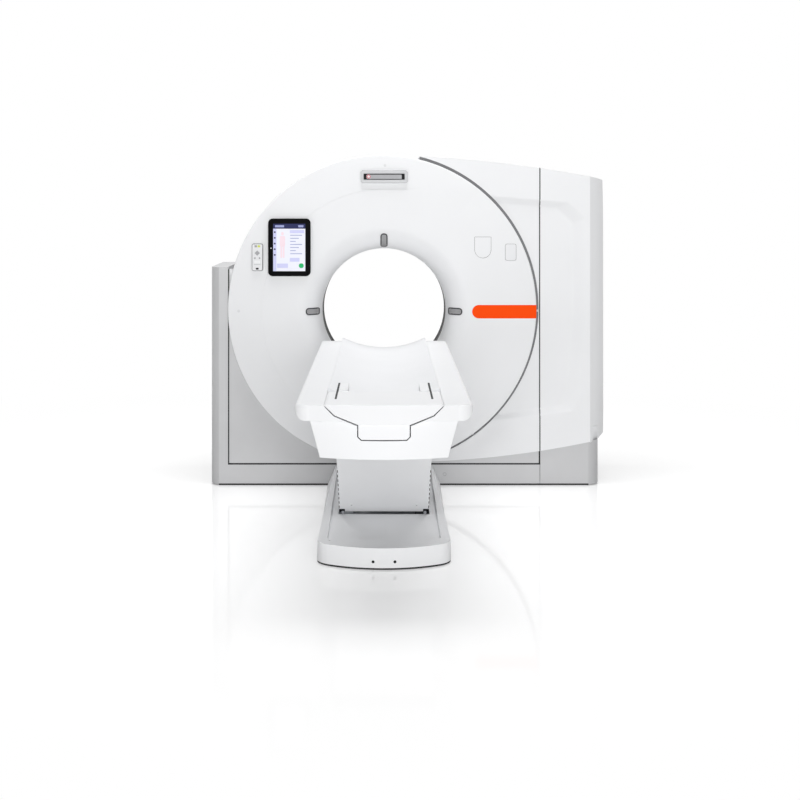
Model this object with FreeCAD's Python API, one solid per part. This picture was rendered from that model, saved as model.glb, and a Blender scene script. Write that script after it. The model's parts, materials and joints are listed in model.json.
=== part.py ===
import FreeCAD, Part
import math
import os

# CT scanner: a gantry with a round tunnel and a patient table in front of it.
# Millimetres. +Z is up, +Y runs from the table to the gantry, +X is to the right of someone at the table.
# The origin is on the floor, under the point where the tunnel's axis meets the scan plane.

V = FreeCAD.Vector

# ---- general clearances and walls
SEAT = 0.5                # gap between covers that meet without touching
RUN = 0.3                 # gap round pieces that slide or turn freely
PIN_FIT = 0.05            # radial clearance of a pivot pin in its hole
SKIN_FLATS = 4            # flats for each arc of a hidden wall
HIDDEN_SIDES = 36         # flats round the hidden back of a round wall
INNER_SIDES = 24          # flats round parts inside the covers
FLARE_STEPS = 4           # steps along the rounded tunnel mouth
WALL = 6.0                # moulded gantry covers
SHEET = 3.0               # sheet metal covers
TABLE_WALL = 5.0          # moulded table covers

# ---- gantry: tunnel and round covers
BORE_R = 350.0            # tunnel radius
TUNNEL_HALF = 98.0        # half length of the straight tunnel
DISC_R = 862.0            # round rim
DISC_LOW_Z = 132.0        # lowest point of the rim
DISC_X = -11.0            # centre of the round rim
DISC_Z = DISC_LOW_Z + DISC_R
DISC_TOP_Z = DISC_Z + DISC_R
AXIS_Z = DISC_Z - 14.0    # height of the tunnel's axis
FACE_Y = -254.0           # front face of the round cover
FLARE_R = 125.0           # radius of the rounded tunnel mouth
CREASE_R = DISC_R - 179.0 # where the face starts to lean back
CREASE_LEAN = 3.0         # how far it leans, in degrees
RIM_BACK_Y = FACE_Y + 57.0    # rear edge of the rim, and front plane of the stand
REAR_Y = 380.0            # rear plane of the gantry
REAR_MOUTH_R = BORE_R + 120.0
REAR_SPLIT_X = 600.0      # where the rear round cover stops and the side bay starts
CORNER_CUT = 0.6          # a rounded corner of radius r is drawn as a flat of 0.6 r each way
LINER_WALL = 3.0
GAP_WIDTH = 18.0          # visible gap between the round cover and the side cover

# ---- gantry: stand
SEAM_X = DISC_R + 14.0    # seams at both sides of the stand
SEAM_GAP = 5.0
COLUMN_WIDTH = 99.0
COLUMN_LEFT_X = -SEAM_X - COLUMN_WIDTH
COLUMN_TOP_Z = AXIS_Z + 247.0
PLINTH_TOP_Z = DISC_LOW_Z - 14.0
STAND_FOOT_Z = 5.0        # lower edge of the stand covers
STAND_RIGHT_X = SEAM_X + 336.0
STAND_RIGHT_TOP_Z = 330.0
CORNER_DEPTH = 75.0       # rounded upright corners of the stand
CORNER_LEFT = 47.0
CORNER_RIGHT = 63.0
FLANGE = 27.0             # hidden flanges that carry panels
PANEL_DEPTH = 7.0
PANEL_TOP_Z = AXIS_Z - 20.0
INFILL_TOP_Z = COLUMN_TOP_Z - 11.0

# ---- gantry: side cover
SIDE_Y = RIM_BACK_Y - 8.0 # front plane
SIDE_TIP_X = 200.0        # tips of the crescent
SIDE_TOP = ((SIDE_TIP_X, DISC_TOP_Z - 7.0), (SEAM_X - 116.0, DISC_TOP_Z - 56.0),
            (SEAM_X + 378.0, DISC_TOP_Z - 138.0))
SIDE_RIGHT_MID = (SEAM_X + 397.0, AXIS_Z + 10.0)
SIDE_BOTTOM = ((SEAM_X + 386.0, DISC_LOW_Z + 136.0), (SEAM_X - 116.0, DISC_LOW_Z + 45.0),
               (SIDE_TIP_X, DISC_LOW_Z + 1.0))
SIDE_EDGE_X = SEAM_X + 282.0            # where the front plane turns into the side
SIDE_BEND = (SEAM_X + 356.0, RIM_BACK_Y + 99.0)
SIDE_STRAIGHT_Y = 60.0    # behind this the side runs straight back
SIDE_RETURN = 20.0        # depth of the hidden return walls
DISH_DEPTH = 14.0         # shallow embossed field
DISH_TIP_X = SIDE_TIP_X + 200.0
DISH_RIM = ((DISH_TIP_X, DISC_TOP_Z - 216.0), (SEAM_X + 164.0, DISC_TOP_Z - 268.0),
            (SEAM_X + 256.0, DISC_TOP_Z - 356.0), (SEAM_X + 264.0, AXIS_Z + 20.0),
            (SEAM_X + 232.0, DISC_LOW_Z + 373.0), (SEAM_X + 186.0, DISC_LOW_Z + 288.0),
            (DISH_TIP_X, DISC_LOW_Z + 203.0))
DISH_SIDE_SLOPE = 68.0
DISH_END_SLOPE = 26.0
VERTICAL_SEAM = 4.0

# ---- gantry: fittings on the front
WINDOW_INNER_R = BORE_R + 13.0    # laser windows
WINDOW_LENGTH = 75.0
WINDOW_OUTER_R = WINDOW_INNER_R + WINDOW_LENGTH
WINDOW_WIDTH = 41.0
WINDOW_CORNER = 16.0
WINDOW_ANGLES = {"laser_window_right": 0.0, "laser_window_top": 90.0, "laser_window_left": 180.0}
MODULE_DEPTH = 110.0
MODULE_WIDTH = 30.0
MODULE_INSET = 17.5
STRIPE_LEFT_X = BORE_R + FLARE_R + 17.0
STRIPE_HEIGHT = 75.0
STRIPE_LOW_Z = AXIS_Z - 37.0
INLAY = 1.5
CAMERA_X = DISC_X + 12.0
CAMERA_Z = DISC_TOP_Z - 122.0
CAMERA_WIDTH = 262.0
CAMERA_HEIGHT = 72.0
CAMERA_STANDS_OUT = 12.0
CAMERA_CORNER = 14.0
CAMERA_SLOT_WIDTH = CAMERA_WIDTH - 33.0
CAMERA_SLOT_HEIGHT = CAMERA_HEIGHT - 38.0
CAMERA_SLOT_DEPTH = 8.0
CAMERA_SLOT_CORNER = 4.0
CAMERA_WINDOW_THICK = 5.0
TABLET_X = -DISC_R + 334.4
TABLET_Z = AXIS_Z + 360.0
TABLET_WIDTH = 236.0
TABLET_HEIGHT = 321.0
TABLET_DEPTH = 20.0
TABLET_CORNER = 28.0
SCREEN_WIDTH = TABLET_WIDTH - 56.0
SCREEN_HEIGHT = TABLET_HEIGHT - 56.0
SCREEN_INLAY = 2.0
REMOTE_X = -DISC_R + 155.5
REMOTE_Z = AXIS_Z + 304.2
REMOTE_WIDTH = 57.0
REMOTE_HEIGHT = 147.0
REMOTE_DEPTH = 20.0
REMOTE_CORNER = 9.0
REMOTE_SEAT_Y = FACE_Y + 7.0
KEY_TRAVEL = 1.0
KEY_STANDS_OUT = 1.2
KEY_DEPTH = 3.0
KEYS = {                  # centre, width and height of each key
    "key_power": (REMOTE_X - 8.0, REMOTE_Z + 62.0, 14.0, 12.0),
    "key_light": (REMOTE_X + 9.0, REMOTE_Z + 62.0, 14.0, 12.0),
    "key_pad": (REMOTE_X, REMOTE_Z + 24.0, 30.0, 30.0),
    "key_left": (REMOTE_X - 13.0, REMOTE_Z - 4.0, 9.0, 9.0),
    "key_right": (REMOTE_X + 13.0, REMOTE_Z - 4.0, 9.0, 9.0),
}
DOCK_X = DISC_R - 310.0
DOCK_LOW_Z = AXIS_Z + 299.0
DOCK_WIDTH = 94.0
DOCK_HEIGHT = 120.0
SOCKET_X = DISC_R - 154.5
SOCKET_Z = AXIS_Z + 332.5
SOCKET_WIDTH = 63.0
SOCKET_HEIGHT = 95.0
SOCKET_CORNER = 14.0
LID_GAP = 2.0

# ---- gantry: inside
BASE_PLATE = 20.0
BASE_LEFT_X = COLUMN_LEFT_X + 53.0
BASE_RIGHT_X = STAND_RIGHT_X - CORNER_RIGHT - 9.0
ANCHOR_R = 9.0
ANCHOR_SIDES = 8
ANCHOR_X = SEAM_X - 96.0
ANCHOR_Y = (-120.0, 320.0)
SLIP_RING_INNER_R = BORE_R + 96.0
SLIP_RING_DEPTH = 24.0
HUB_INNER_R = SLIP_RING_INNER_R + 54.0
HUB_R = HUB_INNER_R + 40.0
STATOR_Y = 240.0          # front of the bearing plate
STATOR_PLATE = 30.0
STATOR_HOLE_R = HUB_INNER_R
STATOR_HALF_WIDTH = DISC_R - 222.0
STATOR_TOP_Z = DISC_TOP_Z - 256.0
RIB_X = STATOR_HALF_WIDTH - 80.0
RIB_PLATE = 24.0
POST_WIDTH = 24.0
POST_DEPTH = 32.0
POST_TOP_Z = DISC_TOP_Z - 296.0
PAD_X = 300.0
PAD_WIDTH = 60.0
ROTOR_Y = 130.0           # front of the rotor plate
ROTOR_PLATE = 30.0
ROTOR_R = DISC_R - 77.0
ROTOR_SIDES = 12
HUB_END_Y = STATOR_Y - 4.0
RACE_FIT = 0.08
RACE_WALL = 55.0
RACE_WIDTH = 34.0
BRUSH_HALF = 40.0
TUBE_R = 95.0
TUBE_ORBIT = BORE_R + 250.0
TUBE_FRONT_Y = -140.0
COLLIMATOR_HEIGHT = 50.0
COLLIMATOR_FRONT_Y = -60.0
BEAM_HALF_WIDTH = 70.0    # opening in the collimator
BEAM_HALF_DEPTH = 20.0
FOCUS_R = TUBE_ORBIT - 30.0           # focal spot to tunnel axis
FAN_HALF = 27.0           # half fan angle, in degrees
DETECTOR_FAR = FOCUS_R + 440.0        # focal spot to detector
DETECTOR_DEPTH = 80.0
DETECTOR_HALF_WIDTH = 60.0
COOLER_ANGLE = 145.0      # above +X
COOLER_INNER_R = TUBE_ORBIT - 100.0
COOLER_DEPTH = 190.0
COOLER_FRONT_Y = -110.0
COOLER_SLOTS = 5
COOLER_SLOT = 18.0
COOLER_PITCH = 52.0
COOLER_SLOT_DEPTH = 40.0
COOLER_SLOT_REAR_Y = 60.0
ROTOR_UNITS = {           # angle above +X, distance from the axis, width, height and front plane
    "high_voltage_generator": (30.0, TUBE_ORBIT, 260.0, 200.0, -100.0),
    "data_unit": (195.0, TUBE_ORBIT + 10.0, 180.0, 160.0, -60.0),
    "counterweight": (345.0, TUBE_ORBIT + 20.0, 180.0, 150.0, 40.0),
}
POWER_X = SEAM_X + 24.0
POWER_WIDTH = 220.0
POWER_FRONT_Y = -120.0
POWER_DEPTH = 380.0
POWER_TOP_Z = AXIS_Z + 20.0

# ---- table: levels and plan
TABLE_PIVOT_Z = AXIS_Z - 341.0    # upper pivots of the lift arms
COVER_TOP_Z = TABLE_PIVOT_Z + 184.0
COVER_SPLIT_Z = COVER_TOP_Z - 61.0    # where top cover and lower cover meet
COVER_HALF = 346.0
COVER_REAR_Y = FACE_Y - 43.0
COVER_FRONT_Y = -2598.0
COVER_CORNER_Y = COVER_FRONT_Y + 78.0
COVER_CORNER = 60.0
LIP_X = COVER_HALF - 66.0     # inner edge of the lip that sits on the lower cover
ROLL_X = COVER_HALF - 46.0    # the side roll starts here
ROLL_RISE = 36.0
ROLL_TOP = 14.0
SLOT_END_Y = COVER_REAR_Y - 103.0
LOWER_TOP_HALF = LIP_X + 8.0
LOWER_BOTTOM_HALF = LOWER_TOP_HALF - 38.0
LOWER_BOTTOM_Z = COVER_SPLIT_Z - 153.0
LOWER_FRONT_Y = COVER_FRONT_Y + 53.0
LOWER_SIDE_FRONT_Y = COVER_FRONT_Y + 96.0
LOWER_FRONT_LEAN = 16.0   # degrees
LOWER_REAR_TOP_Y = COVER_REAR_Y - 13.0
LOWER_REAR_BOTTOM_Y = COVER_REAR_Y - 223.0
CRADLE_HALF = 230.0
CRADLE_RISE = 17.0        # cradle edge above the cover
CRADLE_LIP = 8.0
CRADLE_DIP = 52.0
BELLY_HALF = 99.0         # flat belly of the cradle
BELLY_Z = COVER_TOP_Z - 72.0
KNEE_X = CRADLE_HALF - 40.0
KNEE_Z = COVER_TOP_Z - 37.0
CHANNEL_GAP = 4.0         # visible gap round the cradle
END_CAP_Y = COVER_FRONT_Y + 365.0
END_CAP_TOP_Z = COVER_TOP_Z + 4.0
HORN_INNER_X = 148.0
HORN_WIDTH = 38.0
HORN_LENGTH = 223.0
HORN_STEP = 8.0           # horns end this far below the cradle's edge
TONGUE_LOW_Z = COVER_SPLIT_Z - 72.0
TONGUE_DEPTH = 26.0
TONGUE_CORNER = 20.0

# ---- table: lift and foot
ARM_LENGTH = 795.0
ARM_LOW_Y = -1175.0       # lower pivot of the front arm
ARM_LOW_Z = 128.0
ARM_SPACING = 260.0       # between the two arms' pivots
LOWER_ARM_HALF = 22.0
UPPER_ARM_HALF = 20.0
EYE_R = 27.0
PIN_R = 15.0
LOWER_ARM_WIDTH = 190.0   # half widths
UPPER_ARM_WIDTH = LOWER_ARM_WIDTH - 50.0
BAR_WIDTH = 40.0
ARM_TIE = 50.0            # half length of the cross box halfway up an arm
LUG_GAP = 4.0
LUG_PLATE = 12.0
ARM_COVER_HALF = LOWER_ARM_WIDTH + 27.5
ARM_COVER_FRONT = 45.0
ARM_COVER_WALL = 4.0
ARM_COVER_LOW = 6.0       # the cover reaches this far past the lower pivot
ARM_COVER_HIGH = 25.0     # and stops this far before the upper one
ARM_COVER_NOTCH = 26.0    # its lower corners are cut away over the pivot plates
ARM_COVER_POST = 60.0
ARM_COVER_POSTS = (200.0, ARM_LENGTH - 145.0)
FOOT_HALF = 299.0
FOOT_REAR_FLOOR_HALF = FOOT_HALF + 19.0
FOOT_REAR_TOP_HALF = FOOT_HALF - 28.0
FOOT_DRAFT = 2.0
FOOT_FRONT_Y = -1895.0
FOOT_CORNER_Y = FOOT_FRONT_Y + 98.0
FOOT_REAR_Y = RIM_BACK_Y - SEAT
FOOT_FRONT_TOP_Z = 94.0
FOOT_REAR_TOP_Z = FOOT_FRONT_TOP_Z + 16.0
SEAL_HEIGHT = 8.0
SEAL_WIDTH = 22.0
SEAL_INSET = 2.0
TRAY_Z = FOOT_FRONT_TOP_Z - 14.0
TRAY_FRONT_Y = FOOT_FRONT_Y + 152.0
TRAY_BOW = 17.0
TRAY_FRONT_HALF = FOOT_HALF - 45.0
TRAY_REAR_HALF = FOOT_HALF - 39.0
WELL_FRONT_Y = ARM_LOW_Y - 37.0
WELL_REAR_Y = ARM_LOW_Y + 615.0
WELL_HALF = ARM_COVER_HALF + 4.5
TABLE_WELL_FRONT = 66.0   # the well in the table's underside, from the front arm's pivot
TABLE_WELL_REAR = 235.0   # and behind the rear arm's pivot
FOOT_HOLE_X = 47.5
FOOT_HOLE_Z = 35.0
FOOT_HOLE_R = 5.0
FOOT_HOLE_SIDES = 6
FOOT_PLATE = 20.0
FOOT_FRAME_HALF = LOWER_ARM_WIDTH + 40.0
FOOT_FRAME_FRONT_Y = FOOT_FRONT_Y + 195.0
MOTOR_LENGTH = 120.0
MOTOR_REACH = 80.0
GEARBOX_WIDTH = 60.0
GEARBOX_FRONT = 50.0
GEARBOX_TOP = 30.0
MOTOR_TOP = 10.0
FRAME_BEAM_X = (110.0, 170.0)
FRAME_LOW_Z = COVER_SPLIT_Z - 78.0
FRAME_FRONT_Y = COVER_FRONT_Y + 128.0
FRAME_REAR_Y = COVER_REAR_Y - 135.0
CROSS_PLATE = 12.0
CROSS_WIDTH = 80.0
CROSS_MID_Y = ARM_LOW_Y + 75.0
RAIL_TIP_X = BELLY_HALF + 3.0
RAIL_LOW_Z = BELLY_Z - 48.0
RAIL_HEIGHT = 14.0
RAIL_PLAY = 3.0           # between the carriage and the beams
BELT_RISE = 14.0
BELT_HEIGHT = 8.0
BELT_THICK = 2.0
CARRIAGE_HALF = BELLY_HALF - 1.0
CARRIAGE_FRONT_Y = COVER_FRONT_Y + 148.0
CARRIAGE_LENGTH = 400.0
CARRIAGE_DROP = 9.0
JAW_HEIGHT = 12.0
DRIVE_LENGTH = 100.0
DRIVE_REACH = 80.0
PINION_TOP = 22.0

# ---- values worked out from the driving dimensions
ARM_ANGLE = math.degrees(math.asin((TABLE_PIVOT_Z - ARM_LOW_Z) / ARM_LENGTH))
ARM_HIGH_Y = ARM_LOW_Y - ARM_LENGTH * math.cos(math.radians(ARM_ANGLE))


def box(x0, x1, y0, y1, z0, z1):
    return Part.makeBox(x1 - x0, y1 - y0, z1 - z0, V(x0, y0, z0))


def y_cylinder(radius, y0, y1, x=0.0, z=AXIS_Z):
    return Part.makeCylinder(radius, y1 - y0, V(x, y0, z), V(0, 1, 0))


def x_cylinder(radius, x0, x1, y, z):
    return Part.makeCylinder(radius, x1 - x0, V(x0, y, z), V(1, 0, 0))


def disc_cylinder(radius, y0, y1):
    """A cylinder about the round cover's own centre."""
    return y_cylinder(radius, y0, y1, DISC_X, DISC_Z)


def flat_sided(radius, sides, y0, y1, x=0.0, z=AXIS_Z):
    """A many-sided prism along Y whose flats just touch a circle: the hidden back of a round wall."""
    corner = radius / math.cos(math.pi / sides)
    points = [(x + corner * math.cos(2 * math.pi * i / sides), z + corner * math.sin(2 * math.pi * i / sides))
              for i in range(sides)]
    return xz_prism(outline(in_xz, points[0], points[1:]), y0, y1)


def disc_sides(radius, y0, y1):
    return flat_sided(radius, HIDDEN_SIDES, y0, y1, DISC_X, DISC_Z)


def flat_cone(stations, sides):
    """A many-sided form about the tunnel's axis through (radius, depth) stations."""
    rings = []
    for radius, y in stations:
        corner = radius / math.cos(math.pi / sides)
        turn = 2 * math.pi / sides
        rings.append([V(corner * math.cos(turn * i), y,
                        AXIS_Z + corner * math.sin(turn * i)) for i in range(sides)])
    faces = [polygon_face(rings[0]), polygon_face(rings[-1])]
    for near, far in zip(rings[:-1], rings[1:]):
        for i in range(sides):
            j = (i + 1) % sides
            faces.append(polygon_face([near[i], near[j], far[j], far[i]]))
    return Part.makeSolid(Part.makeShell(faces))


def polygon_face(points):
    return Part.Face(Part.makePolygon(points + [points[0]]))


def in_xz(p):
    return V(p[0], 0, p[1])


def in_xy(p):
    return V(p[0], p[1], 0)


def in_yz(p):
    return V(0, p[0], p[1])


def outline(place, start, steps, flats=0):
    """A closed wire. Each step is an end point, or a (middle, end) pair for an arc.

    Walls that nobody sees take a number of flats for each arc.
    """
    edges = []
    here = start
    for step in steps:
        if isinstance(step[0], tuple):
            middle, end = step
            arc = Part.Arc(place(here), place(middle), place(end))
            if flats:
                edges += Part.makePolygon(arc.discretize(flats + 1)).Edges
            else:
                edges.append(arc.toShape())
        else:
            end = step
            edges.append(Part.makeLine(place(here), place(end)))
        here = end
    if here != start:
        edges.append(Part.makeLine(place(here), place(start)))
    return Part.Wire(edges)


def prism(wire, along, base):
    """The wire's face moved to its base and drawn out along a vector."""
    face = Part.Face(wire)
    face.translate(base)
    return face.extrude(along)


def xz_prism(wire, y0, y1):
    return prism(wire, V(0, y1 - y0, 0), V(0, y0, 0))


def xy_prism(wire, z0, z1):
    return prism(wire, V(0, 0, z1 - z0), V(0, 0, z0))


def yz_prism(wire, x0, x1):
    return prism(wire, V(x1 - x0, 0, 0), V(x0, 0, 0))


def tile(width, height, corner, x, z, y0, y1):
    """A plate facing the front, with its corners taken off."""
    a, b = width / 2, height / 2
    c = corner * CORNER_CUT
    points = [(a - c, -b), (a, -b + c), (a, b - c), (a - c, b), (-a + c, b), (-a, b - c), (-a, -b + c),
              (-a + c, -b)]
    points = [(x + px, z + pz) for px, pz in points]
    return xz_prism(outline(in_xz, points[0], points[1:]), y0, y1)


def one(shapes):
    result = shapes[0]
    for shape in shapes[1:]:
        result = result.fuse(shape)
    return result.removeSplitter()


def both_sides(shape):
    """The shape and its mirror image across the middle plane."""
    return one([shape, shape.mirror(V(0, 0, 0), V(1, 0, 0))])


# ---- round covers

def flare_points(inset, steps):
    """Points along the rounded tunnel mouth, from the straight tunnel to the face."""
    points = []
    for i in range(steps + 1):
        a = math.pi / 2 * i / steps
        reach = FLARE_R - inset
        points.append((BORE_R + FLARE_R - reach * math.cos(a), FACE_Y + FLARE_R - reach * math.sin(a)))
    return points


def mouth(far):
    """The free space of the tunnel and its rounded front mouth."""
    points = flare_points(0.0, FLARE_STEPS)
    stations = [(points[-1][0], far)] + points[::-1] + [(BORE_R, -TUNNEL_HALF)]
    return flat_cone(stations, 2 * INNER_SIDES)


def mouth_back():
    """The same space widened by the wall, with flats, for the hidden side."""
    stations = flare_points(WALL, 2)[::-1] + [(BORE_R + WALL, -TUNNEL_HALF)]
    return flat_cone(stations, INNER_SIDES)


def lean(inset):
    """The space in front of the zone that leans back: round the left half, straight off to the right."""
    reach = 2 * DISC_R
    slope = math.tan(math.radians(CREASE_LEAN))
    near = CREASE_R - inset / slope
    front = FACE_Y - 80.0
    whole = flat_sided(reach, HIDDEN_SIDES, front, FACE_Y + (reach - near) * slope)
    hub = flat_cone([(near, front), (near, FACE_Y), (reach, FACE_Y + (reach - near) * slope)], HIDDEN_SIDES)
    left = whole.cut(hub).common(box(-2 * reach, 0, -reach, reach, -reach, 2 * reach))
    rise = [(reach, FACE_Y + (reach - near) * slope), (reach, front), (near, front)]
    section = outline(lambda p: V(0, p[1], AXIS_Z + p[0]), (near, FACE_Y), rise)
    top = prism(section, V(reach, 0, 0), V(0, 0, 0))
    bottom = top.mirror(V(0, 0, AXIS_Z), V(0, 0, 1))
    return left, top, bottom


def front_skin():
    """The round cover's wall, before anything is let into it."""
    outer = disc_cylinder(DISC_R, FACE_Y, RIM_BACK_Y)
    inner = disc_sides(DISC_R - WALL, FACE_Y + WALL, RIM_BACK_Y)
    for space in lean(0.0):
        outer = outer.cut(space)
    for space in lean(WALL):
        inner = inner.cut(space)
    throat = mouth_back()
    inner = inner.cut(throat)
    behind = throat.common(box(-DISC_R, DISC_R, RIM_BACK_Y, 0, 0, 2 * AXIS_Z))
    return outer.cut(inner).fuse(behind).cut(mouth(FACE_Y - 1))


def window_slot(angle, gap):
    """The opening of one laser window, drawn towards the tunnel's axis at an angle above +X."""
    middle = (WINDOW_OUTER_R + WINDOW_INNER_R) / 2
    slot = tile(WINDOW_LENGTH - 2 * gap, WINDOW_WIDTH - 2 * gap, WINDOW_CORNER - gap,
                middle, AXIS_Z, FACE_Y - 10.0, -TUNNEL_HALF)
    slot.rotate(V(0, 0, AXIS_Z), V(0, 1, 0), -angle)
    return slot


def behind_flare(inset, steps):
    """A straight bar with the section of all behind the mouth, for windows and what lies behind."""
    points = flare_points(inset, steps)
    wire = outline(in_xy, points[0], points[1:] + [(points[-1][0] + 1, -TUNNEL_HALF),
                                                   (points[0][0], -TUNNEL_HALF)])
    return prism(wire, V(0, 0, 2 * WINDOW_WIDTH), V(0, 0, AXIS_Z - WINDOW_WIDTH))


def laser_window(angle):
    pane = behind_flare(0.0, 2 * FLARE_STEPS).cut(behind_flare(WALL, 2))
    pane.rotate(V(0, 0, AXIS_Z), V(0, 1, 0), -angle)
    return pane.common(window_slot(angle, RUN))


def stripe_form(gap, depth):
    """The accent stripe: a round left end, then straight on to the rim."""
    half = STRIPE_HEIGHT / 2 - gap
    mid_z = STRIPE_LOW_Z + STRIPE_HEIGHT / 2
    start_x = STRIPE_LEFT_X + STRIPE_HEIGHT / 2
    wire = outline(in_xz, (start_x, mid_z - half), [
        (DISC_R * 1.1, mid_z - half), (DISC_R * 1.1, mid_z + half), (start_x, mid_z + half),
        ((start_x - half, mid_z), (start_x, mid_z - half))], 3 * SKIN_FLATS)
    solid = xz_prism(wire, FACE_Y, FACE_Y + depth)
    return solid.common(disc_cylinder(DISC_R, FACE_Y, RIM_BACK_Y))


def dock_form(gap, depth):
    """The shield-shaped lid: straight top, round bottom."""
    half = DOCK_WIDTH / 2 - gap
    low = DOCK_LOW_Z + gap
    high = DOCK_LOW_Z + DOCK_HEIGHT - gap
    round_z = low + half
    wire = outline(in_xz, (DOCK_X - half, round_z), [
        ((DOCK_X, low), (DOCK_X + half, round_z)), (DOCK_X + half, high), (DOCK_X - half, high)],
        3 * SKIN_FLATS)
    return xz_prism(wire, FACE_Y, FACE_Y + depth)


def socket_form(gap, depth):
    return tile(SOCKET_WIDTH - 2 * gap, SOCKET_HEIGHT - 2 * gap, SOCKET_CORNER - gap,
                SOCKET_X, SOCKET_Z, FACE_Y, FACE_Y + depth)


def camera_form(gap, front, back):
    return tile(CAMERA_WIDTH - 2 * gap, CAMERA_HEIGHT - 2 * gap, CAMERA_CORNER - gap,
                CAMERA_X, CAMERA_Z, front, back)


def remote_form(gap, front, back):
    return tile(REMOTE_WIDTH - 2 * gap, REMOTE_HEIGHT - 2 * gap, REMOTE_CORNER - gap,
                REMOTE_X, REMOTE_Z, front, back)


def front_cover(skin):
    cover = skin
    for angle in WINDOW_ANGLES.values():
        cover = cover.cut(window_slot(angle, 0.0))
    cover = cover.cut(stripe_form(0.0, INLAY))
    cover = cover.cut(dock_form(0.0, INLAY))
    cover = cover.cut(socket_form(0.0, INLAY))
    cover = cover.cut(camera_form(0.0, FACE_Y - 20.0, FACE_Y + WALL / 2))
    return cover.cut(remote_form(0.0, FACE_Y - 20.0, REMOTE_SEAT_Y))


def bore_liner():
    outer = flat_sided(BORE_R + LINER_WALL, 2 * INNER_SIDES, -TUNNEL_HALF, TUNNEL_HALF)
    return outer.cut(flat_sided(BORE_R, 2 * INNER_SIDES, -TUNNEL_HALF, TUNNEL_HALF))


def rear_mouth(inset):
    return flat_cone([(BORE_R + inset, TUNNEL_HALF), (REAR_MOUTH_R + inset, REAR_Y)], HIDDEN_SIDES)


def rear_cover():
    """A deep tub: round side wall, flat back and a tapered tunnel mouth. It stops at the side bay."""
    radius = DISC_R - WALL - SEAT
    front = RIM_BACK_Y - WALL
    outer = disc_cylinder(radius, front, REAR_Y)
    inner = disc_sides(radius - 2 * WALL, front, REAR_Y - WALL).cut(rear_mouth(WALL))
    tub = outer.cut(inner).cut(rear_mouth(0.0))
    tub = tub.cut(box(REAR_SPLIT_X, 2 * DISC_R, front, REAR_Y, 0, 2 * AXIS_Z))
    passage = bearing_plate(SEAT).cut(flat_sided(STATOR_HOLE_R, INNER_SIDES, 0, REAR_Y))
    return tub.cut(passage)


# ---- side covers

def side_outline(inset, flats=0):
    (ax, az), (bx, bz), (cx, cz) = SIDE_TOP
    (dx, dz) = SIDE_RIGHT_MID
    (ex, ez), (fx, fz), (gx, gz) = SIDE_BOTTOM
    t = inset
    return outline(in_xz, (ax, az - t), [
        ((bx, bz - t), (cx - t, cz - t)), ((dx - t, dz), (ex - t, ez + t)),
        ((fx, fz + t), (gx, gz + t))], flats)


def side_plan(inset, flats=0):
    t = inset
    wide = SIDE_RIGHT_MID[0]
    return outline(in_xy, (SIDE_TIP_X - 1, SIDE_Y + t), [
        (SIDE_EDGE_X - t / 2, SIDE_Y + t),
        ((SIDE_BEND[0] - t, SIDE_BEND[1]), (wide - t, SIDE_STRAIGHT_Y)),
        (wide - t, REAR_Y - WALL), (SIDE_TIP_X - 1, REAR_Y - WALL)], flats)


def dish(inset):
    """The shallow embossed field: sloping walls down to a flat floor."""
    rim = []
    floor = []
    for x, z in DISH_RIM:
        up = 1 if z > AXIS_Z + 300 else -1 if z < AXIS_Z - 300 else 0
        out = 1 if x > SIDE_TIP_X + 400 else 0
        rim.append(V(x + out * inset, SIDE_Y + inset, z + up * inset))
        floor.append(V(x - out * (DISH_SIDE_SLOPE - inset), SIDE_Y + DISH_DEPTH + inset,
                       z - up * (DISH_END_SLOPE - inset)))
    wires = [Part.makePolygon(ring + [ring[0]]) for ring in (rim, floor)]
    sunk = Part.makeLoft(wires, True, True)
    front = Part.Face(wires[0]).extrude(V(0, -inset - 1.0, 0))
    return sunk.fuse(front)


def side_body(inset):
    """The side cover's outer form, moved in by the inset."""
    flats = SKIN_FLATS if inset else 0
    body = xz_prism(side_outline(inset, flats), SIDE_Y, REAR_Y - WALL)
    body = body.common(xy_prism(side_plan(inset, flats), 0, 2 * AXIS_Z))
    return body.cut(dish(inset))


def side_shell():
    """Front wall, top wall, side wall and lower lip of the side cover, still in one piece."""
    gap_r = DISC_R + GAP_WIDTH
    deep = SIDE_Y + SIDE_RETURN
    shell = side_body(0.0)
    hollow = side_body(WALL)
    kept = hollow.common(disc_sides(gap_r + WALL, SIDE_Y, deep))
    hollow = hollow.cut(kept)
    shell = shell.cut(hollow)
    shell = shell.cut(disc_cylinder(gap_r, SIDE_Y - 1, deep))
    shell = shell.cut(disc_sides(DISC_R - WALL, deep, REAR_Y))
    inside = box(SIDE_TIP_X - 1, STAND_RIGHT_X - WALL, deep, REAR_Y, 0, STAND_RIGHT_TOP_Z)
    return shell.cut(inside)


def side_covers(shell):
    """The shell parted at the seam. The right piece has a flange that lies behind the left one."""
    half = VERTICAL_SEAM / 2
    left = shell.common(box(0, SEAM_X - half, SIDE_Y - 1, REAR_Y, 0, 2 * AXIS_Z))
    right = shell.common(box(SEAM_X + half, 2 * SEAM_X, SIDE_Y - 1, REAR_Y, 0, 2 * AXIS_Z))
    band = side_body(WALL).cut(side_body(WALL + SHEET))
    strip = box(SEAM_X - FLANGE, SEAM_X + half + WALL, SIDE_Y, SIDE_Y + DISH_DEPTH + 2 * WALL, 0, 2 * AXIS_Z)
    flange = band.common(strip)
    return left, one([right, flange])


def side_cover_rear():
    plate = xz_prism(side_outline(0.0), REAR_Y - WALL, REAR_Y)
    round_part = disc_sides(DISC_R - WALL, 0, REAR_Y)
    round_part = round_part.cut(box(REAR_SPLIT_X + SEAT, 2 * DISC_R, 0, REAR_Y, 0, 2 * AXIS_Z))
    return plate.cut(round_part)


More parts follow.
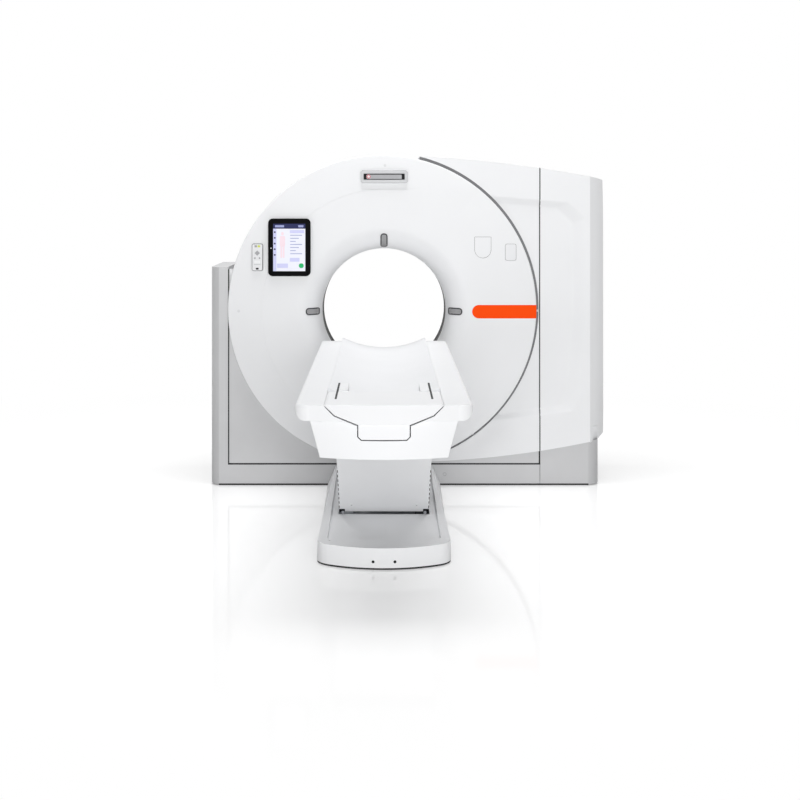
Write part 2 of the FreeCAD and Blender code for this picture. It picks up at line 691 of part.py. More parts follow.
def gap_strip():
    """The grey strip behind the gap between the round cover and the side cover."""
    ring = disc_cylinder(DISC_R + GAP_WIDTH, RIM_BACK_Y, RIM_BACK_Y + WALL)
    ring = ring.cut(disc_sides(DISC_R - WALL, RIM_BACK_Y, RIM_BACK_Y + WALL))
    above = box(SIDE_TIP_X, 2 * DISC_R, RIM_BACK_Y, 0, 0, 2 * AXIS_Z)
    return ring.common(above)


# ---- stand

def stand_plan(x0, x1, corner_left, corner_right, inset):
    """Plan of a stand cover with rounded front corners."""
    y0 = RIM_BACK_Y + inset
    y1 = REAR_Y - inset
    turn = RIM_BACK_Y + CORNER_DEPTH
    steps = [(x1 - corner_right, y0)]
    if corner_right:
        steps.append(((x1 - corner_right * 0.3, y0 + CORNER_DEPTH * 0.3), (x1, turn)))
    steps += [(x1, y1), (x0, y1)]
    if corner_left:
        steps.append((x0, turn))
        steps.append(((x0 + corner_left * 0.3, y0 + CORNER_DEPTH * 0.3), (x0 + corner_left, y0)))
    return outline(in_xy, (x0 + corner_left, y0), steps)


def stand_cover_left():
    """Tall column and long plinth in one bent sheet, open below and above the plinth."""
    profile = [(-SEAM_X, COLUMN_TOP_Z), (-SEAM_X, PLINTH_TOP_Z), (SEAM_X, PLINTH_TOP_Z),
               (SEAM_X, STAND_FOOT_Z)]
    outer = xz_prism(outline(in_xz, (COLUMN_LEFT_X, STAND_FOOT_Z), [(COLUMN_LEFT_X, COLUMN_TOP_Z)] + profile),
                     RIM_BACK_Y, REAR_Y)
    outer = outer.common(xy_prism(stand_plan(COLUMN_LEFT_X, SEAM_X, CORNER_LEFT, 0.0, 0.0), 0, COLUMN_TOP_Z))
    t = SHEET
    inner = xz_prism(outline(in_xz, (COLUMN_LEFT_X + t, 0.0), [
        (COLUMN_LEFT_X + t, COLUMN_TOP_Z - t), (-SEAM_X - t, COLUMN_TOP_Z - t),
        (-SEAM_X - t, PLINTH_TOP_Z - t), (SEAM_X, PLINTH_TOP_Z - t), (SEAM_X, 0.0)]), RIM_BACK_Y, REAR_Y)
    inner = inner.common(xy_prism(stand_plan(COLUMN_LEFT_X + t, SEAM_X, CORNER_LEFT, 0.0, t), 0,
                                  COLUMN_TOP_Z))
    cover = outer.cut(inner)
    open_top = box(-SEAM_X, SEAM_X, RIM_BACK_Y + FLANGE, REAR_Y - FLANGE, PLINTH_TOP_Z - t, PLINTH_TOP_Z)
    cover = cover.cut(open_top)
    seat_y = RIM_BACK_Y + PANEL_DEPTH
    flange = box(-SEAM_X, -SEAM_X + FLANGE, seat_y, seat_y + t, PLINTH_TOP_Z, PANEL_TOP_Z)
    flange = flange.cut(disc_sides(DISC_R - WALL, seat_y, seat_y + t))
    lower = box(-SEAM_X, SEAM_X, seat_y, seat_y + t, PLINTH_TOP_Z, PLINTH_TOP_Z + 2 * SEAM_GAP)
    cover = one([cover, flange.fuse(lower)])
    passage = box(-FOOT_FRAME_HALF - SEAT, FOOT_FRAME_HALF + SEAT, RIM_BACK_Y, RIM_BACK_Y + t,
                  STAND_FOOT_Z, FOOT_PLATE + SEAT)
    return cover.cut(passage).cut(side_post(SEAT))


def stand_cover_right():
    x0 = SEAM_X + VERTICAL_SEAM / 2
    outer = xy_prism(stand_plan(x0, STAND_RIGHT_X, 0.0, CORNER_RIGHT, 0.0), STAND_FOOT_Z, STAND_RIGHT_TOP_Z)
    inner = xy_prism(stand_plan(x0, STAND_RIGHT_X - SHEET, 0.0, CORNER_RIGHT, SHEET), 0, STAND_RIGHT_TOP_Z)
    above = xz_prism(side_outline(-SEAT), SIDE_Y, REAR_Y)
    return outer.cut(inner).cut(above)


def lower_panel(y0, y1, gap):
    """A silver panel below the round cover, trimmed to the round cover and the side cover."""
    panel = box(-SEAM_X + gap, SEAM_X - gap, y0, y1, PLINTH_TOP_Z + gap, PANEL_TOP_Z)
    panel = panel.cut(disc_sides(DISC_R - WALL, y0, y1))
    return panel.cut(xz_prism(side_outline(-SEAT), y0, y1))


def infill_panel():
    """White panel that closes the corner between the column and the round cover."""
    y0 = RIM_BACK_Y + PANEL_DEPTH
    panel = box(-SEAM_X + SEAT, -SEAM_X + 4 * FLANGE, y0, y0 + SHEET, PANEL_TOP_Z + SEAT, INFILL_TOP_Z)
    return panel.cut(disc_sides(DISC_R - WALL, y0, y0 + SHEET))


# ---- gantry inside

def bearing_plate(grow):
    """Outline of the upright plate, drawn out, less its round hole."""
    half = STATOR_HALF_WIDTH + grow
    low = AXIS_Z - half / 2
    high = AXIS_Z + half / 2
    corner = STATOR_TOP_Z - high
    y0 = STATOR_Y - grow
    y1 = STATOR_Y + STATOR_PLATE + grow
    return xz_prism(outline(in_xz, (-half, BASE_PLATE), [
        (half, BASE_PLATE), (half, low), (half, high), (half - corner, STATOR_TOP_Z),
        (-half + corner, STATOR_TOP_Z), (-half, high)]), y0, y1)


def side_post(grow):
    """Upright behind the seam of the side cover, grown all round for the notch it passes through."""
    y0 = SIDE_Y + DISH_DEPTH + WALL + 2 * SHEET + SEAT
    x1 = SEAM_X - VERTICAL_SEAM / 2
    return box(x1 - POST_WIDTH - grow, x1 + grow, y0 - grow, y0 + POST_DEPTH + grow, BASE_PLATE, POST_TOP_Z)


def base_frame():
    """Floor plate, bearing plate with ribs, side post and two pads under the rear cover."""
    front = RIM_BACK_Y + SHEET
    back = REAR_Y - SHEET
    plate = box(BASE_LEFT_X, BASE_RIGHT_X, front, back, 0, BASE_PLATE)
    hole = flat_sided(STATOR_HOLE_R, INNER_SIDES, STATOR_Y, STATOR_Y + STATOR_PLATE)
    upright = bearing_plate(0.0).cut(hole)
    behind = STATOR_Y + STATOR_PLATE
    rib = yz_prism(outline(in_yz, (behind, BASE_PLATE), [
        (back - WALL - SEAT, BASE_PLATE), (behind, DISC_Z - DISC_R)]), RIB_X, RIB_X + RIB_PLATE)
    ribs = both_sides(rib)
    pad = box(PAD_X - PAD_WIDTH / 2, PAD_X + PAD_WIDTH / 2, 0, PAD_WIDTH, BASE_PLATE, DISC_Z - DISC_R / 2)
    pads = both_sides(pad).cut(disc_cylinder(DISC_R - WALL - SEAT, -1, PAD_WIDTH + 1))
    frame = one([plate, upright, ribs, side_post(0.0), pads])
    for x in (-ANCHOR_X, ANCHOR_X):
        for y in ANCHOR_Y:
            hole = flat_sided(ANCHOR_R, ANCHOR_SIDES, 0, BASE_PLATE, 0, 0)
            hole.rotate(V(0, 0, 0), V(1, 0, 0), 90)
            hole.translate(V(x, y, 0))
            frame = frame.cut(hole)
    return frame


def main_bearing():
    """Ring of flat bearing pads round the hub."""
    start = STATOR_Y - RACE_WIDTH
    ring = flat_sided(HUB_R + RACE_FIT + RACE_WALL, INNER_SIDES, start, STATOR_Y)
    return ring.cut(flat_sided(HUB_R + RACE_FIT, INNER_SIDES, start, STATOR_Y))


def drive_stator():
    """Two coil blocks of the direct drive on the front of the bearing, close to the hub."""
    start = ROTOR_Y + ROTOR_PLATE + WALL
    end = STATOR_Y - RACE_WIDTH
    ring = flat_sided(HUB_R + RACE_FIT + RACE_WALL, INNER_SIDES, start, end)
    ring = ring.cut(flat_sided(HUB_R + RUN, INNER_SIDES, start, end))
    sides = ring.cut(box(-STATOR_HOLE_R * 0.8, STATOR_HOLE_R * 0.8, 0, REAR_Y, 0, 2 * AXIS_Z))
    return sides


def brush_block():
    """Carbon brush holder on the bearing plate, facing the slip ring."""
    face = ROTOR_Y + ROTOR_PLATE + SLIP_RING_DEPTH + RUN
    behind = STATOR_Y + STATOR_PLATE
    low, high = AXIS_Z - BRUSH_HALF, AXIS_Z + BRUSH_HALF
    holder = box(-HUB_INNER_R + WALL, -SLIP_RING_INNER_R, face, behind + WALL, low, high)
    plate = box(-STATOR_HOLE_R - 1.5 * BRUSH_HALF, -SLIP_RING_INNER_R, behind, behind + WALL, low, high)
    return one([holder, plate])


def laser_modules():
    """Three laser projectors, each against the back of its window."""
    modules = []
    for angle in WINDOW_ANGLES.values():
        half = MODULE_WIDTH / 2
        block = box(WINDOW_INNER_R + MODULE_INSET, WINDOW_OUTER_R - WALL, FACE_Y + WALL,
                    FACE_Y + WALL + MODULE_DEPTH,
                    AXIS_Z - half, AXIS_Z + half)
        block = block.common(behind_flare(WALL, 2))
        block.rotate(V(0, 0, AXIS_Z), V(0, 1, 0), -angle)
        modules.append(block)
    return Part.makeCompound(modules)


def rotor_frame():
    """Twelve-sided plate with a round hub that turns in the main bearing."""
    back = ROTOR_Y + ROTOR_PLATE
    plate = flat_sided(ROTOR_R * math.cos(math.pi / ROTOR_SIDES), ROTOR_SIDES, ROTOR_Y, back)
    hub = y_cylinder(HUB_R, back, HUB_END_Y)
    return plate.fuse(hub).cut(flat_sided(HUB_INNER_R, INNER_SIDES, ROTOR_Y, HUB_END_Y))


def slip_ring():
    """Flat ring of contact tracks inside the hub."""
    back = ROTOR_Y + ROTOR_PLATE
    ring = flat_sided(HUB_INNER_R, INNER_SIDES, back, back + SLIP_RING_DEPTH)
    return ring.cut(flat_sided(SLIP_RING_INNER_R, INNER_SIDES, back, back + SLIP_RING_DEPTH))


def xray_tube():
    """Tube housing with flat sides."""
    return flat_sided(TUBE_R, ROTOR_SIDES, TUBE_FRONT_Y, ROTOR_Y, 0.0, AXIS_Z + TUBE_ORBIT)


def collimator():
    """Box under the tube, with a fan-shaped slot that lets the beam through."""
    top = AXIS_Z + TUBE_ORBIT - TUBE_R
    low = top - COLLIMATOR_HEIGHT
    block = box(-TUBE_R, TUBE_R, COLLIMATOR_FRONT_Y, ROTOR_Y, low, top)
    slot = box(-BEAM_HALF_WIDTH, BEAM_HALF_WIDTH, -BEAM_HALF_DEPTH, BEAM_HALF_DEPTH, low, top)
    return block.cut(slot).cut(xray_tube())


def detector_arc():
    """Detector bow centred on the focal spot, opposite the tube, on a bracket to the rotor plate."""
    focus = AXIS_Z + FOCUS_R
    half = math.radians(FAN_HALF)
    rings = []
    for radius in (DETECTOR_FAR, DETECTOR_FAR + DETECTOR_DEPTH):
        angles = (-half, -half / 3, half / 3, half)
        rings.append([(radius * math.sin(a), focus - radius * math.cos(a)) for a in angles])
    wire = outline(in_xz, rings[0][0], rings[0][1:] + rings[1][::-1])
    return xz_prism(wire, -DETECTOR_HALF_WIDTH, ROTOR_Y)


def rotor_box(angle, centre_r, width, height, front):
    """A rectangular unit bolted to the rotor plate at an angle above +X."""
    unit = box(-width / 2, width / 2, front, ROTOR_Y, AXIS_Z + centre_r - height / 2,
               AXIS_Z + centre_r + height / 2)
    unit.rotate(V(0, 0, AXIS_Z), V(0, 1, 0), 90.0 - angle)
    return unit


def tube_cooler():
    """Heat exchanger with cooling slots across its outer face."""
    outer_r = AXIS_Z + COOLER_INNER_R + COOLER_DEPTH
    half = COOLER_PITCH * COOLER_SLOTS / 2
    unit = box(-half, half, COOLER_FRONT_Y, ROTOR_Y, AXIS_Z + COOLER_INNER_R, outer_r)
    for i in range(COOLER_SLOTS):
        x = COOLER_PITCH * (i + 0.5) - half
        unit = unit.cut(box(x - COOLER_SLOT / 2, x + COOLER_SLOT / 2, COOLER_FRONT_Y, COOLER_SLOT_REAR_Y,
                            outer_r - COOLER_SLOT_DEPTH, outer_r))
    unit.rotate(V(0, 0, AXIS_Z), V(0, 1, 0), 90.0 - COOLER_ANGLE)
    return unit


def power_unit():
    return box(POWER_X, POWER_X + POWER_WIDTH, POWER_FRONT_Y, POWER_FRONT_Y + POWER_DEPTH, BASE_PLATE,
               POWER_TOP_Z)


# ---- fittings on the front

def camera_bar():
    front = FACE_Y - CAMERA_STANDS_OUT
    bar = camera_form(SEAT, front, FACE_Y + WALL / 2)
    slot = tile(CAMERA_SLOT_WIDTH, CAMERA_SLOT_HEIGHT, CAMERA_SLOT_CORNER, CAMERA_X, CAMERA_Z,
                front, front + CAMERA_SLOT_DEPTH)
    return bar.cut(slot)


def camera_window():
    back = FACE_Y - CAMERA_STANDS_OUT + CAMERA_SLOT_DEPTH
    return tile(CAMERA_SLOT_WIDTH - 2 * SEAT, CAMERA_SLOT_HEIGHT - 2 * SEAT, CAMERA_SLOT_CORNER - SEAT,
                CAMERA_X, CAMERA_Z, back - CAMERA_WINDOW_THICK, back)


def tablet():
    front = FACE_Y - TABLET_DEPTH
    body = tile(TABLET_WIDTH, TABLET_HEIGHT, TABLET_CORNER, TABLET_X, TABLET_Z, front, FACE_Y)
    return body.cut(screen_form(0.0))


def screen_form(gap):
    front = FACE_Y - TABLET_DEPTH
    half_w = SCREEN_WIDTH / 2 - gap
    half_h = SCREEN_HEIGHT / 2 - gap
    return box(TABLET_X - half_w, TABLET_X + half_w, front, front + SCREEN_INLAY,
               TABLET_Z - half_h, TABLET_Z + half_h)


def key_outline(name, gap):
    """Front outline of one key of the remote control, less a gap."""
    x, z, width, height = KEYS[name]
    a = width / 2 - gap
    b = height / 2 - gap
    if name == "key_pad":
        points = [(x - a, z), (x, z - b), (x + a, z), (x, z + b)]
    else:
        points = [(x - a, z - b), (x + a, z - b), (x + a, z + b), (x - a, z + b)]
    return outline(in_xz, points[0], points[1:])


def remote_front():
    return REMOTE_SEAT_Y - REMOTE_DEPTH


def remote_control():
    body = remote_form(SEAT, remote_front(), REMOTE_SEAT_Y)
    depth = KEY_DEPTH - KEY_STANDS_OUT + KEY_TRAVEL + RUN
    for name in KEYS:
        body = body.cut(xz_prism(key_outline(name, 0.0), remote_front(), remote_front() + depth))
    return body


def key(name):
    start = remote_front() - KEY_STANDS_OUT
    return xz_prism(key_outline(name, RUN), start, start + KEY_DEPTH)


# ---- table covers and cradle

def table_plan(inset):
    """Plan of the table top: straight sides, bowed foot end with rounded corners."""
    t = inset
    half = COVER_HALF - t
    corner_y = COVER_CORNER_Y
    in_x = half - COVER_CORNER
    front_side = corner_y - COVER_CORNER * 0.75 + t
    mid = (half - COVER_CORNER * 0.25, corner_y - COVER_CORNER * 0.45 + t * 0.7)
    return outline(in_xy, (-half, COVER_REAR_Y), [
        (-half, corner_y), ((-mid[0], mid[1]), (-in_x, front_side)),
        ((0, COVER_FRONT_Y + t), (in_x, front_side)),
        (mid, (half, corner_y)), (half, COVER_REAR_Y)], SKIN_FLATS if inset else 0)


def half_channel(gap):
    """Right half of the cradle's underside, moved out by a gap, from the belly to the edge."""
    return [(BELLY_HALF + gap, BELLY_Z - gap), (KNEE_X + gap * 0.8, KNEE_Z - gap * 0.8)]


def cover_section(inset):
    """Cross-section of the top cover: lip, side roll, flat top and the channel for the cradle."""
    t = inset
    low = BELLY_Z - CHANNEL_GAP - TABLE_WALL
    side = COVER_HALF - t
    top = COVER_TOP_Z - t
    seat = COVER_SPLIT_Z + t
    (cx, cz), (kx, kz) = half_channel(CHANNEL_GAP)
    right = [(LIP_X, seat), (ROLL_X, seat), (side, seat + ROLL_RISE - t), (side - ROLL_TOP, top),
             (CRADLE_HALF + CHANNEL_GAP + t, top), (kx + t * 0.6, kz - t), (cx, cz - t)]
    roll = ((side - 8.0 + t * 0.1, seat + 16.0 - t * 0.3), right[2])
    edge = ((side - ROLL_TOP * 0.29, top - ROLL_TOP * 0.29), right[3])
    steps = [right[1], roll, (side, top - ROLL_TOP), edge] + right[4:]
    steps += [(-x, z) for x, z in reversed(right[3:])]
    steps += [((-edge[0][0], edge[0][1]), (-side, top - ROLL_TOP)), (-side, right[2][1]),
              ((-roll[0][0], roll[0][1]), (-ROLL_X, seat)), (-LIP_X, seat), (-LIP_X, low - t),
              (LIP_X, low - t)]
    return outline(in_xz, right[0], steps, 2 if inset else 0)


def table_top_cover():
    """Shell with a rolled edge; the channel runs its whole length with a slot for the carriage."""
    outer = xz_prism(cover_section(0.0), COVER_FRONT_Y - 10, COVER_REAR_Y)
    outer = outer.common(xy_prism(table_plan(0.0), 0, COVER_TOP_Z + 10))
    inner = xz_prism(cover_section(TABLE_WALL), COVER_FRONT_Y - 10, COVER_REAR_Y)
    below = inner.common(box(-LIP_X, LIP_X, COVER_FRONT_Y - 10, COVER_REAR_Y, 0, COVER_SPLIT_Z))
    inner = inner.common(xy_prism(table_plan(TABLE_WALL), 0, COVER_TOP_Z + 10))
    slot = BELLY_HALF + CHANNEL_GAP
    passage = box(-slot, slot, COVER_FRONT_Y - 10, SLOT_END_Y, 0, BELLY_Z)
    return outer.cut(inner).cut(below).cut(passage)


def lower_form(inset):
    """Outer form of the lower cover: flared sides and a bowed foot end that leans in towards the floor."""
    t = inset
    rings = []
    for half, rear_y, z in ((LOWER_BOTTOM_HALF - t, LOWER_REAR_BOTTOM_Y - t, LOWER_BOTTOM_Z + t),
                            (LOWER_TOP_HALF - t, LOWER_REAR_TOP_Y - t, COVER_SPLIT_Z)):
        far_y = 2 * COVER_FRONT_Y
        ring = [V(-half, far_y, z), V(half, far_y, z), V(half, rear_y, z), V(-half, rear_y, z)]
        rings.append(Part.makePolygon(ring + [ring[0]]))
    body = Part.makeLoft(rings, True, True)
    wide = COVER_HALF
    plan = outline(in_xy, (-wide, 0.0), [
        (-wide, LOWER_SIDE_FRONT_Y + t), ((0, COVER_FRONT_Y + 2 + t), (wide, LOWER_SIDE_FRONT_Y + t)),
        (wide, 0.0)], SKIN_FLATS if inset else 0)
    bow = prism(plan, V(0, 0, -2 * COVER_SPLIT_Z), V(0, 0, COVER_SPLIT_Z))
    bow.rotate(V(0, COVER_FRONT_Y + 2 + t, COVER_SPLIT_Z), V(1, 0, 0), LOWER_FRONT_LEAN)
    top = box(-wide, wide, 2 * COVER_FRONT_Y, 0, 0, COVER_SPLIT_Z)
    return body.common(bow).common(top)


def tongue_form(gap, y0, y1):
    high = BELLY_Z + 2 * TONGUE_CORNER
    height = high - TONGUE_LOW_Z + gap
    return tile(2 * (BELLY_HALF + gap), height, TONGUE_CORNER + gap, 0.0, high - height / 2, y0, y1)


def table_lower_cover():
    cover = lower_form(0.0).cut(lower_form(TABLE_WALL))
    well = box(-WELL_HALF, WELL_HALF, ARM_HIGH_Y - TABLE_WELL_FRONT,
               ARM_HIGH_Y + ARM_SPACING + TABLE_WELL_REAR,
               LOWER_BOTTOM_Z - 1, LOWER_BOTTOM_Z + 2 * TABLE_WALL)
    notch = tongue_form(CHANNEL_GAP, COVER_FRONT_Y - 10, LOWER_FRONT_Y + 3 * TONGUE_DEPTH)
    return cover.cut(well).cut(notch).cut(channel_space(TABLE_WALL + 3 * SEAT))


def channel_space(drop):
    """The channel and all above it, moved down by the drop."""
    points = [(x, z - drop) for x, z in half_channel(CHANNEL_GAP)]
    right = [(CRADLE_HALF, COVER_TOP_Z - drop), (CRADLE_HALF, 2 * COVER_TOP_Z)]
    steps = points + right + [(-x, z) for x, z in reversed(points + right)]
    return xz_prism(outline(in_xz, steps[0], steps[1:]), 2 * COVER_FRONT_Y, 0)


def cradle_section(top):
    """The cradle's underside closed by the given line over its top, left to right."""
    right = [(BELLY_HALF, BELLY_Z), (KNEE_X, KNEE_Z), (CRADLE_HALF, COVER_TOP_Z)]
    left = [(-p[0], p[1]) for p in reversed(right)]
    return outline(in_xz, right[0], right[1:] + top + left)


def cradle():
    rim = COVER_TOP_Z + CRADLE_RISE
    lip = CRADLE_HALF - CRADLE_LIP
    top = [(CRADLE_HALF, rim), (lip, rim), ((0.0, rim - CRADLE_DIP), (-lip, rim)), (-CRADLE_HALF, rim)]
    return xz_prism(cradle_section(top), END_CAP_Y, COVER_REAR_Y)


def cradle_end_cap(trough):
    """Flat foot end with two horns along the trough and a tongue down the front."""
    top = [(CRADLE_HALF - 10, END_CAP_TOP_Z), (-CRADLE_HALF + 10, END_CAP_TOP_Z)]
    plate = xz_prism(cradle_section(top), COVER_FRONT_Y - 10, END_CAP_Y)
    plate = plate.common(xy_prism(table_plan(0.0), 0, 2 * COVER_TOP_Z))
    end_y = END_CAP_Y + HORN_LENGTH
    middle = HORN_INNER_X + HORN_WIDTH / 2
    rim = COVER_TOP_Z + CRADLE_RISE
    a, c = HORN_WIDTH / 2, HORN_WIDTH / 4
    plan = outline(in_xy, (middle - a, END_CAP_Y), [
        (middle + a, END_CAP_Y), (middle + a, end_y - c), (middle + c, end_y), (middle - c, end_y),
        (middle - a, end_y - c)])
    horns = both_sides(xy_prism(plan, BELLY_Z, rim - HORN_STEP)).cut(trough)
    low = tongue_form(0.0, COVER_FRONT_Y - 10, LOWER_FRONT_Y + TONGUE_DEPTH)
    low = low.common(lower_form(0.0))
    under = box(-BELLY_HALF, BELLY_HALF, COVER_FRONT_Y, LOWER_FRONT_Y + TONGUE_DEPTH,
                BELLY_Z - WALL, BELLY_Z + 1)
    under = under.common(lower_form(0.0))
    solid = one([plate, low, under])
    return solid.fuse(horns.common(space_above(trough)))


def space_above(trough):
    """The space over the trough: only this part is kept of what stands on it."""
    space = box(-CRADLE_HALF, CRADLE_HALF, END_CAP_Y, COVER_REAR_Y, KNEE_Z + CHANNEL_GAP, 2 * COVER_TOP_Z)
    return space.cut(trough)


def table_frame():
    """Two long beams joined below by cross plates, with pivot lugs for both pairs of arms."""
    top = beam_top()
    beam = box(FRAME_BEAM_X[0], FRAME_BEAM_X[1], FRAME_FRONT_Y, FRAME_REAR_Y, FRAME_LOW_Z, top)
    pieces = [both_sides(beam)]
    c = CROSS_WIDTH
    outer = FRAME_BEAM_X[1]
    wide = LOWER_ARM_WIDTH + LUG_GAP + LUG_PLATE
    plates = ((outer, FRAME_FRONT_Y), (wide, ARM_HIGH_Y - c / 2), (outer, ARM_HIGH_Y + ARM_SPACING - c / 2),
              (outer, CROSS_MID_Y), (outer, FRAME_REAR_Y - 1.5 * c))
    for half, y in plates:
        pieces.append(box(-half, half, y, y + c, FRAME_LOW_Z - CROSS_PLATE, FRAME_LOW_Z))
    for half, y in ((LOWER_ARM_WIDTH, ARM_HIGH_Y), (UPPER_ARM_WIDTH, ARM_HIGH_Y + ARM_SPACING)):
        pieces.append(pivot_mount(half, y, TABLE_PIVOT_Z, FRAME_LOW_Z))
    return one(pieces)


def beam_top():
    """The beams reach up to the underside of the channel."""
    (cx, cz), (kx, kz) = half_channel(CHANNEL_GAP)
    rise = (kz - cz) / (kx - cx)
    return cz - TABLE_WALL + max(0.0, FRAME_BEAM_X[0] - cx) * rise - SEAT


def pivot_mount(half, y, z, root_z):
    """Two outboard plates joined by the pin that an arm swings on, drawn out to the part that holds them."""
    x0 = half + LUG_GAP
    way = 1 if root_z > z else -1
    cut = EYE_R * CORNER_CUT
    tip = z - way * EYE_R
    plate = yz_prism(outline(in_yz, (y - EYE_R, root_z), [
        (y - EYE_R, tip + way * cut), (y - EYE_R + cut, tip), (y + EYE_R - cut, tip),
        (y + EYE_R, tip + way * cut), (y + EYE_R, root_z)]), x0, x0 + LUG_PLATE)
    plates = plate.fuse(plate.mirror(V(0, 0, 0), V(1, 0, 0)))
    return plates.fuse(x_cylinder(PIN_R, -x0, x0, y, z))


def guide_rails():
    rail = box(RAIL_TIP_X, FRAME_BEAM_X[0], FRAME_FRONT_Y, FRAME_REAR_Y, RAIL_LOW_Z, RAIL_LOW_Z + RAIL_HEIGHT)
    return Part.makeCompound([rail, rail.mirror(V(0, 0, 0), V(1, 0, 0))])


def drive_belt():
    """Toothed belt strip clamped along the right beam, above the rail."""
    z = RAIL_LOW_Z + RAIL_HEIGHT + BELT_RISE
    return box(FRAME_BEAM_X[0] - BELT_THICK, FRAME_BEAM_X[0], FRAME_FRONT_Y, FRAME_REAR_Y, z, z + BELT_HEIGHT)


def carriage():
    """Slider under the cradle with jaws above and below both rails."""
    y0 = CARRIAGE_FRONT_Y
    y1 = y0 + CARRIAGE_LENGTH
    low = RAIL_LOW_Z - CARRIAGE_DROP
    jaw_x = FRAME_BEAM_X[0] - RAIL_PLAY
    upper = RAIL_LOW_Z + RAIL_HEIGHT + RUN
    body = box(-CARRIAGE_HALF, CARRIAGE_HALF, y0, y1, low, BELLY_Z)
    lower_jaw = box(CARRIAGE_HALF, jaw_x, y0, y1, low, RAIL_LOW_Z - RUN)
    upper_jaw = box(CARRIAGE_HALF, jaw_x, y0, y1, upper, upper + JAW_HEIGHT)
    return both_sides(one([body, lower_jaw, upper_jaw]))


def carriage_drive():
    """Motor behind the carriage, with its pinion housing beside the belt."""
    y0 = CARRIAGE_FRONT_Y + CARRIAGE_LENGTH
    z0 = RAIL_LOW_Z + RAIL_HEIGHT + RUN
    motor = box(-DRIVE_REACH, CARRIAGE_HALF, y0, y0 + DRIVE_LENGTH, z0, BELLY_Z - RUN)
    pinion = box(CARRIAGE_HALF, FRAME_BEAM_X[0] - RAIL_PLAY, y0, y0 + DRIVE_LENGTH, z0, z0 + PINION_TOP)
    return one([motor, pinion])


# ---- table lift

def arm_place(shape, y, z):
    """Swings a part drawn along -Y up to the arm's angle, about its lower pivot."""
    shape.rotate(V(0, 0, 0), V(1, 0, 0), -ARM_ANGLE)
    shape.translate(V(0, y, z))
    return shape


def arm(half_width, half):
    """Two bars joined at both ends by a barrel with a through hole, and by a cross box halfway."""
    c = half / 2
    low, high = EYE_R, -ARM_LENGTH - EYE_R
    body = yz_prism(outline(in_yz, (low, -c), [
        (low, c), (low - c, half), (high + c, half), (high, c), (high, -c), (high + c, -half),
        (low - c, -half)]),
        -half_width, half_width)
    inside = half_width - BAR_WIDTH
    mid = -ARM_LENGTH / 2
    for y0, y1 in ((-ARM_LENGTH + 2 * EYE_R, mid - ARM_TIE), (mid + ARM_TIE, -2 * EYE_R)):
        body = body.cut(box(-inside, inside, y0, y1, -half, half))
    for y in (0.0, -ARM_LENGTH):
        body = body.cut(x_cylinder(PIN_R + PIN_FIT, -half_width, half_width, y, 0))
    return body


def arm_cover():
    """Smooth cover on the front of the lower arm, with side flanges and posts to the arm's bars."""
    low = ARM_COVER_LOW
    end = -ARM_LENGTH + ARM_COVER_HIGH
    x = ARM_COVER_HALF
    t = ARM_COVER_WALL
    front = -ARM_COVER_FRONT
    shell = box(-x, x, end, low, front, LOWER_ARM_HALF)
    shell = shell.cut(box(-x + t, x - t, end, low, front + t, LOWER_ARM_HALF))
    corner = box(LOWER_ARM_WIDTH, x, low - ARM_COVER_NOTCH, low, front, LOWER_ARM_HALF)
    shell = shell.cut(corner).cut(corner.mirror(V(0, 0, 0), V(1, 0, 0)))
    inside = LOWER_ARM_WIDTH - BAR_WIDTH
    posts = [box(inside, LOWER_ARM_WIDTH, -y, -y + ARM_COVER_POST, front + t, -LOWER_ARM_HALF)
             for y in ARM_COVER_POSTS]
    return one([shell] + [both_sides(post) for post in posts])


def foot_plan(inset):
    """Plan of the foot: bowed front, sides left wide."""
    t = inset
    wide = FOOT_REAR_FLOOR_HALF
    corner = (FOOT_HALF - t, FOOT_CORNER_Y + t)
    return outline(in_xy, (-wide, FOOT_REAR_Y), [
        (-wide, corner[1]), (-corner[0], corner[1]), ((0, FOOT_FRONT_Y + t), corner), (wide, corner[1]),
        (wide, FOOT_REAR_Y)])


def foot_sides(inset):
    """The foot's sides flare towards the gantry at the floor and draw in towards it at the top."""
    t = inset
    rings = []
    for front, rear, z in ((FOOT_HALF, FOOT_REAR_FLOOR_HALF, 0.0),
                           (FOOT_HALF - FOOT_DRAFT, FOOT_REAR_TOP_HALF, FOOT_REAR_TOP_Z)):
        ring = [V(-front + t, FOOT_CORNER_Y, z), V(-front + t, FOOT_FRONT_Y, z),
                V(front - t, FOOT_FRONT_Y, z),
                V(front - t, FOOT_CORNER_Y, z), V(rear - t, FOOT_REAR_Y, z), V(-rear + t, FOOT_REAR_Y, z)]
        rings.append(Part.makePolygon(ring + [ring[0]]))
    return Part.makeLoft(rings, True, True)


def above_foot(inset):
    """The space over the foot's top, which rises towards the gantry."""
    front, rear = FOOT_FRONT_Y - 2 * WALL, FOOT_REAR_Y + 2 * WALL
    high = 2 * FOOT_REAR_TOP_Z
    wire = outline(in_yz, (front, FOOT_FRONT_TOP_Z - inset), [
        (rear, FOOT_REAR_TOP_Z - inset), (rear, high), (front, high)])
    return yz_prism(wire, -2 * FOOT_HALF, 2 * FOOT_HALF)


def foot_form():
    """Outer form of the foot."""
    return foot_sides(0.0).common(xy_prism(foot_plan(0.0), SEAL_HEIGHT, FOOT_REAR_TOP_Z)).cut(above_foot(0.0))


def tray(grow):
    """The sunken middle of the foot."""
    g = grow
    corner = (TRAY_FRONT_HALF + g, TRAY_FRONT_Y + TRAY_BOW)
    rear = FOOT_REAR_Y + 2 * WALL
    plan = outline(in_xy, (-TRAY_REAR_HALF - g, rear), [
        (-corner[0], corner[1]), ((0, TRAY_FRONT_Y - g), corner), (TRAY_REAR_HALF + g, rear)],
        1 if grow else 0)
    return xy_prism(plan, TRAY_Z - g, 2 * FOOT_REAR_TOP_Z)


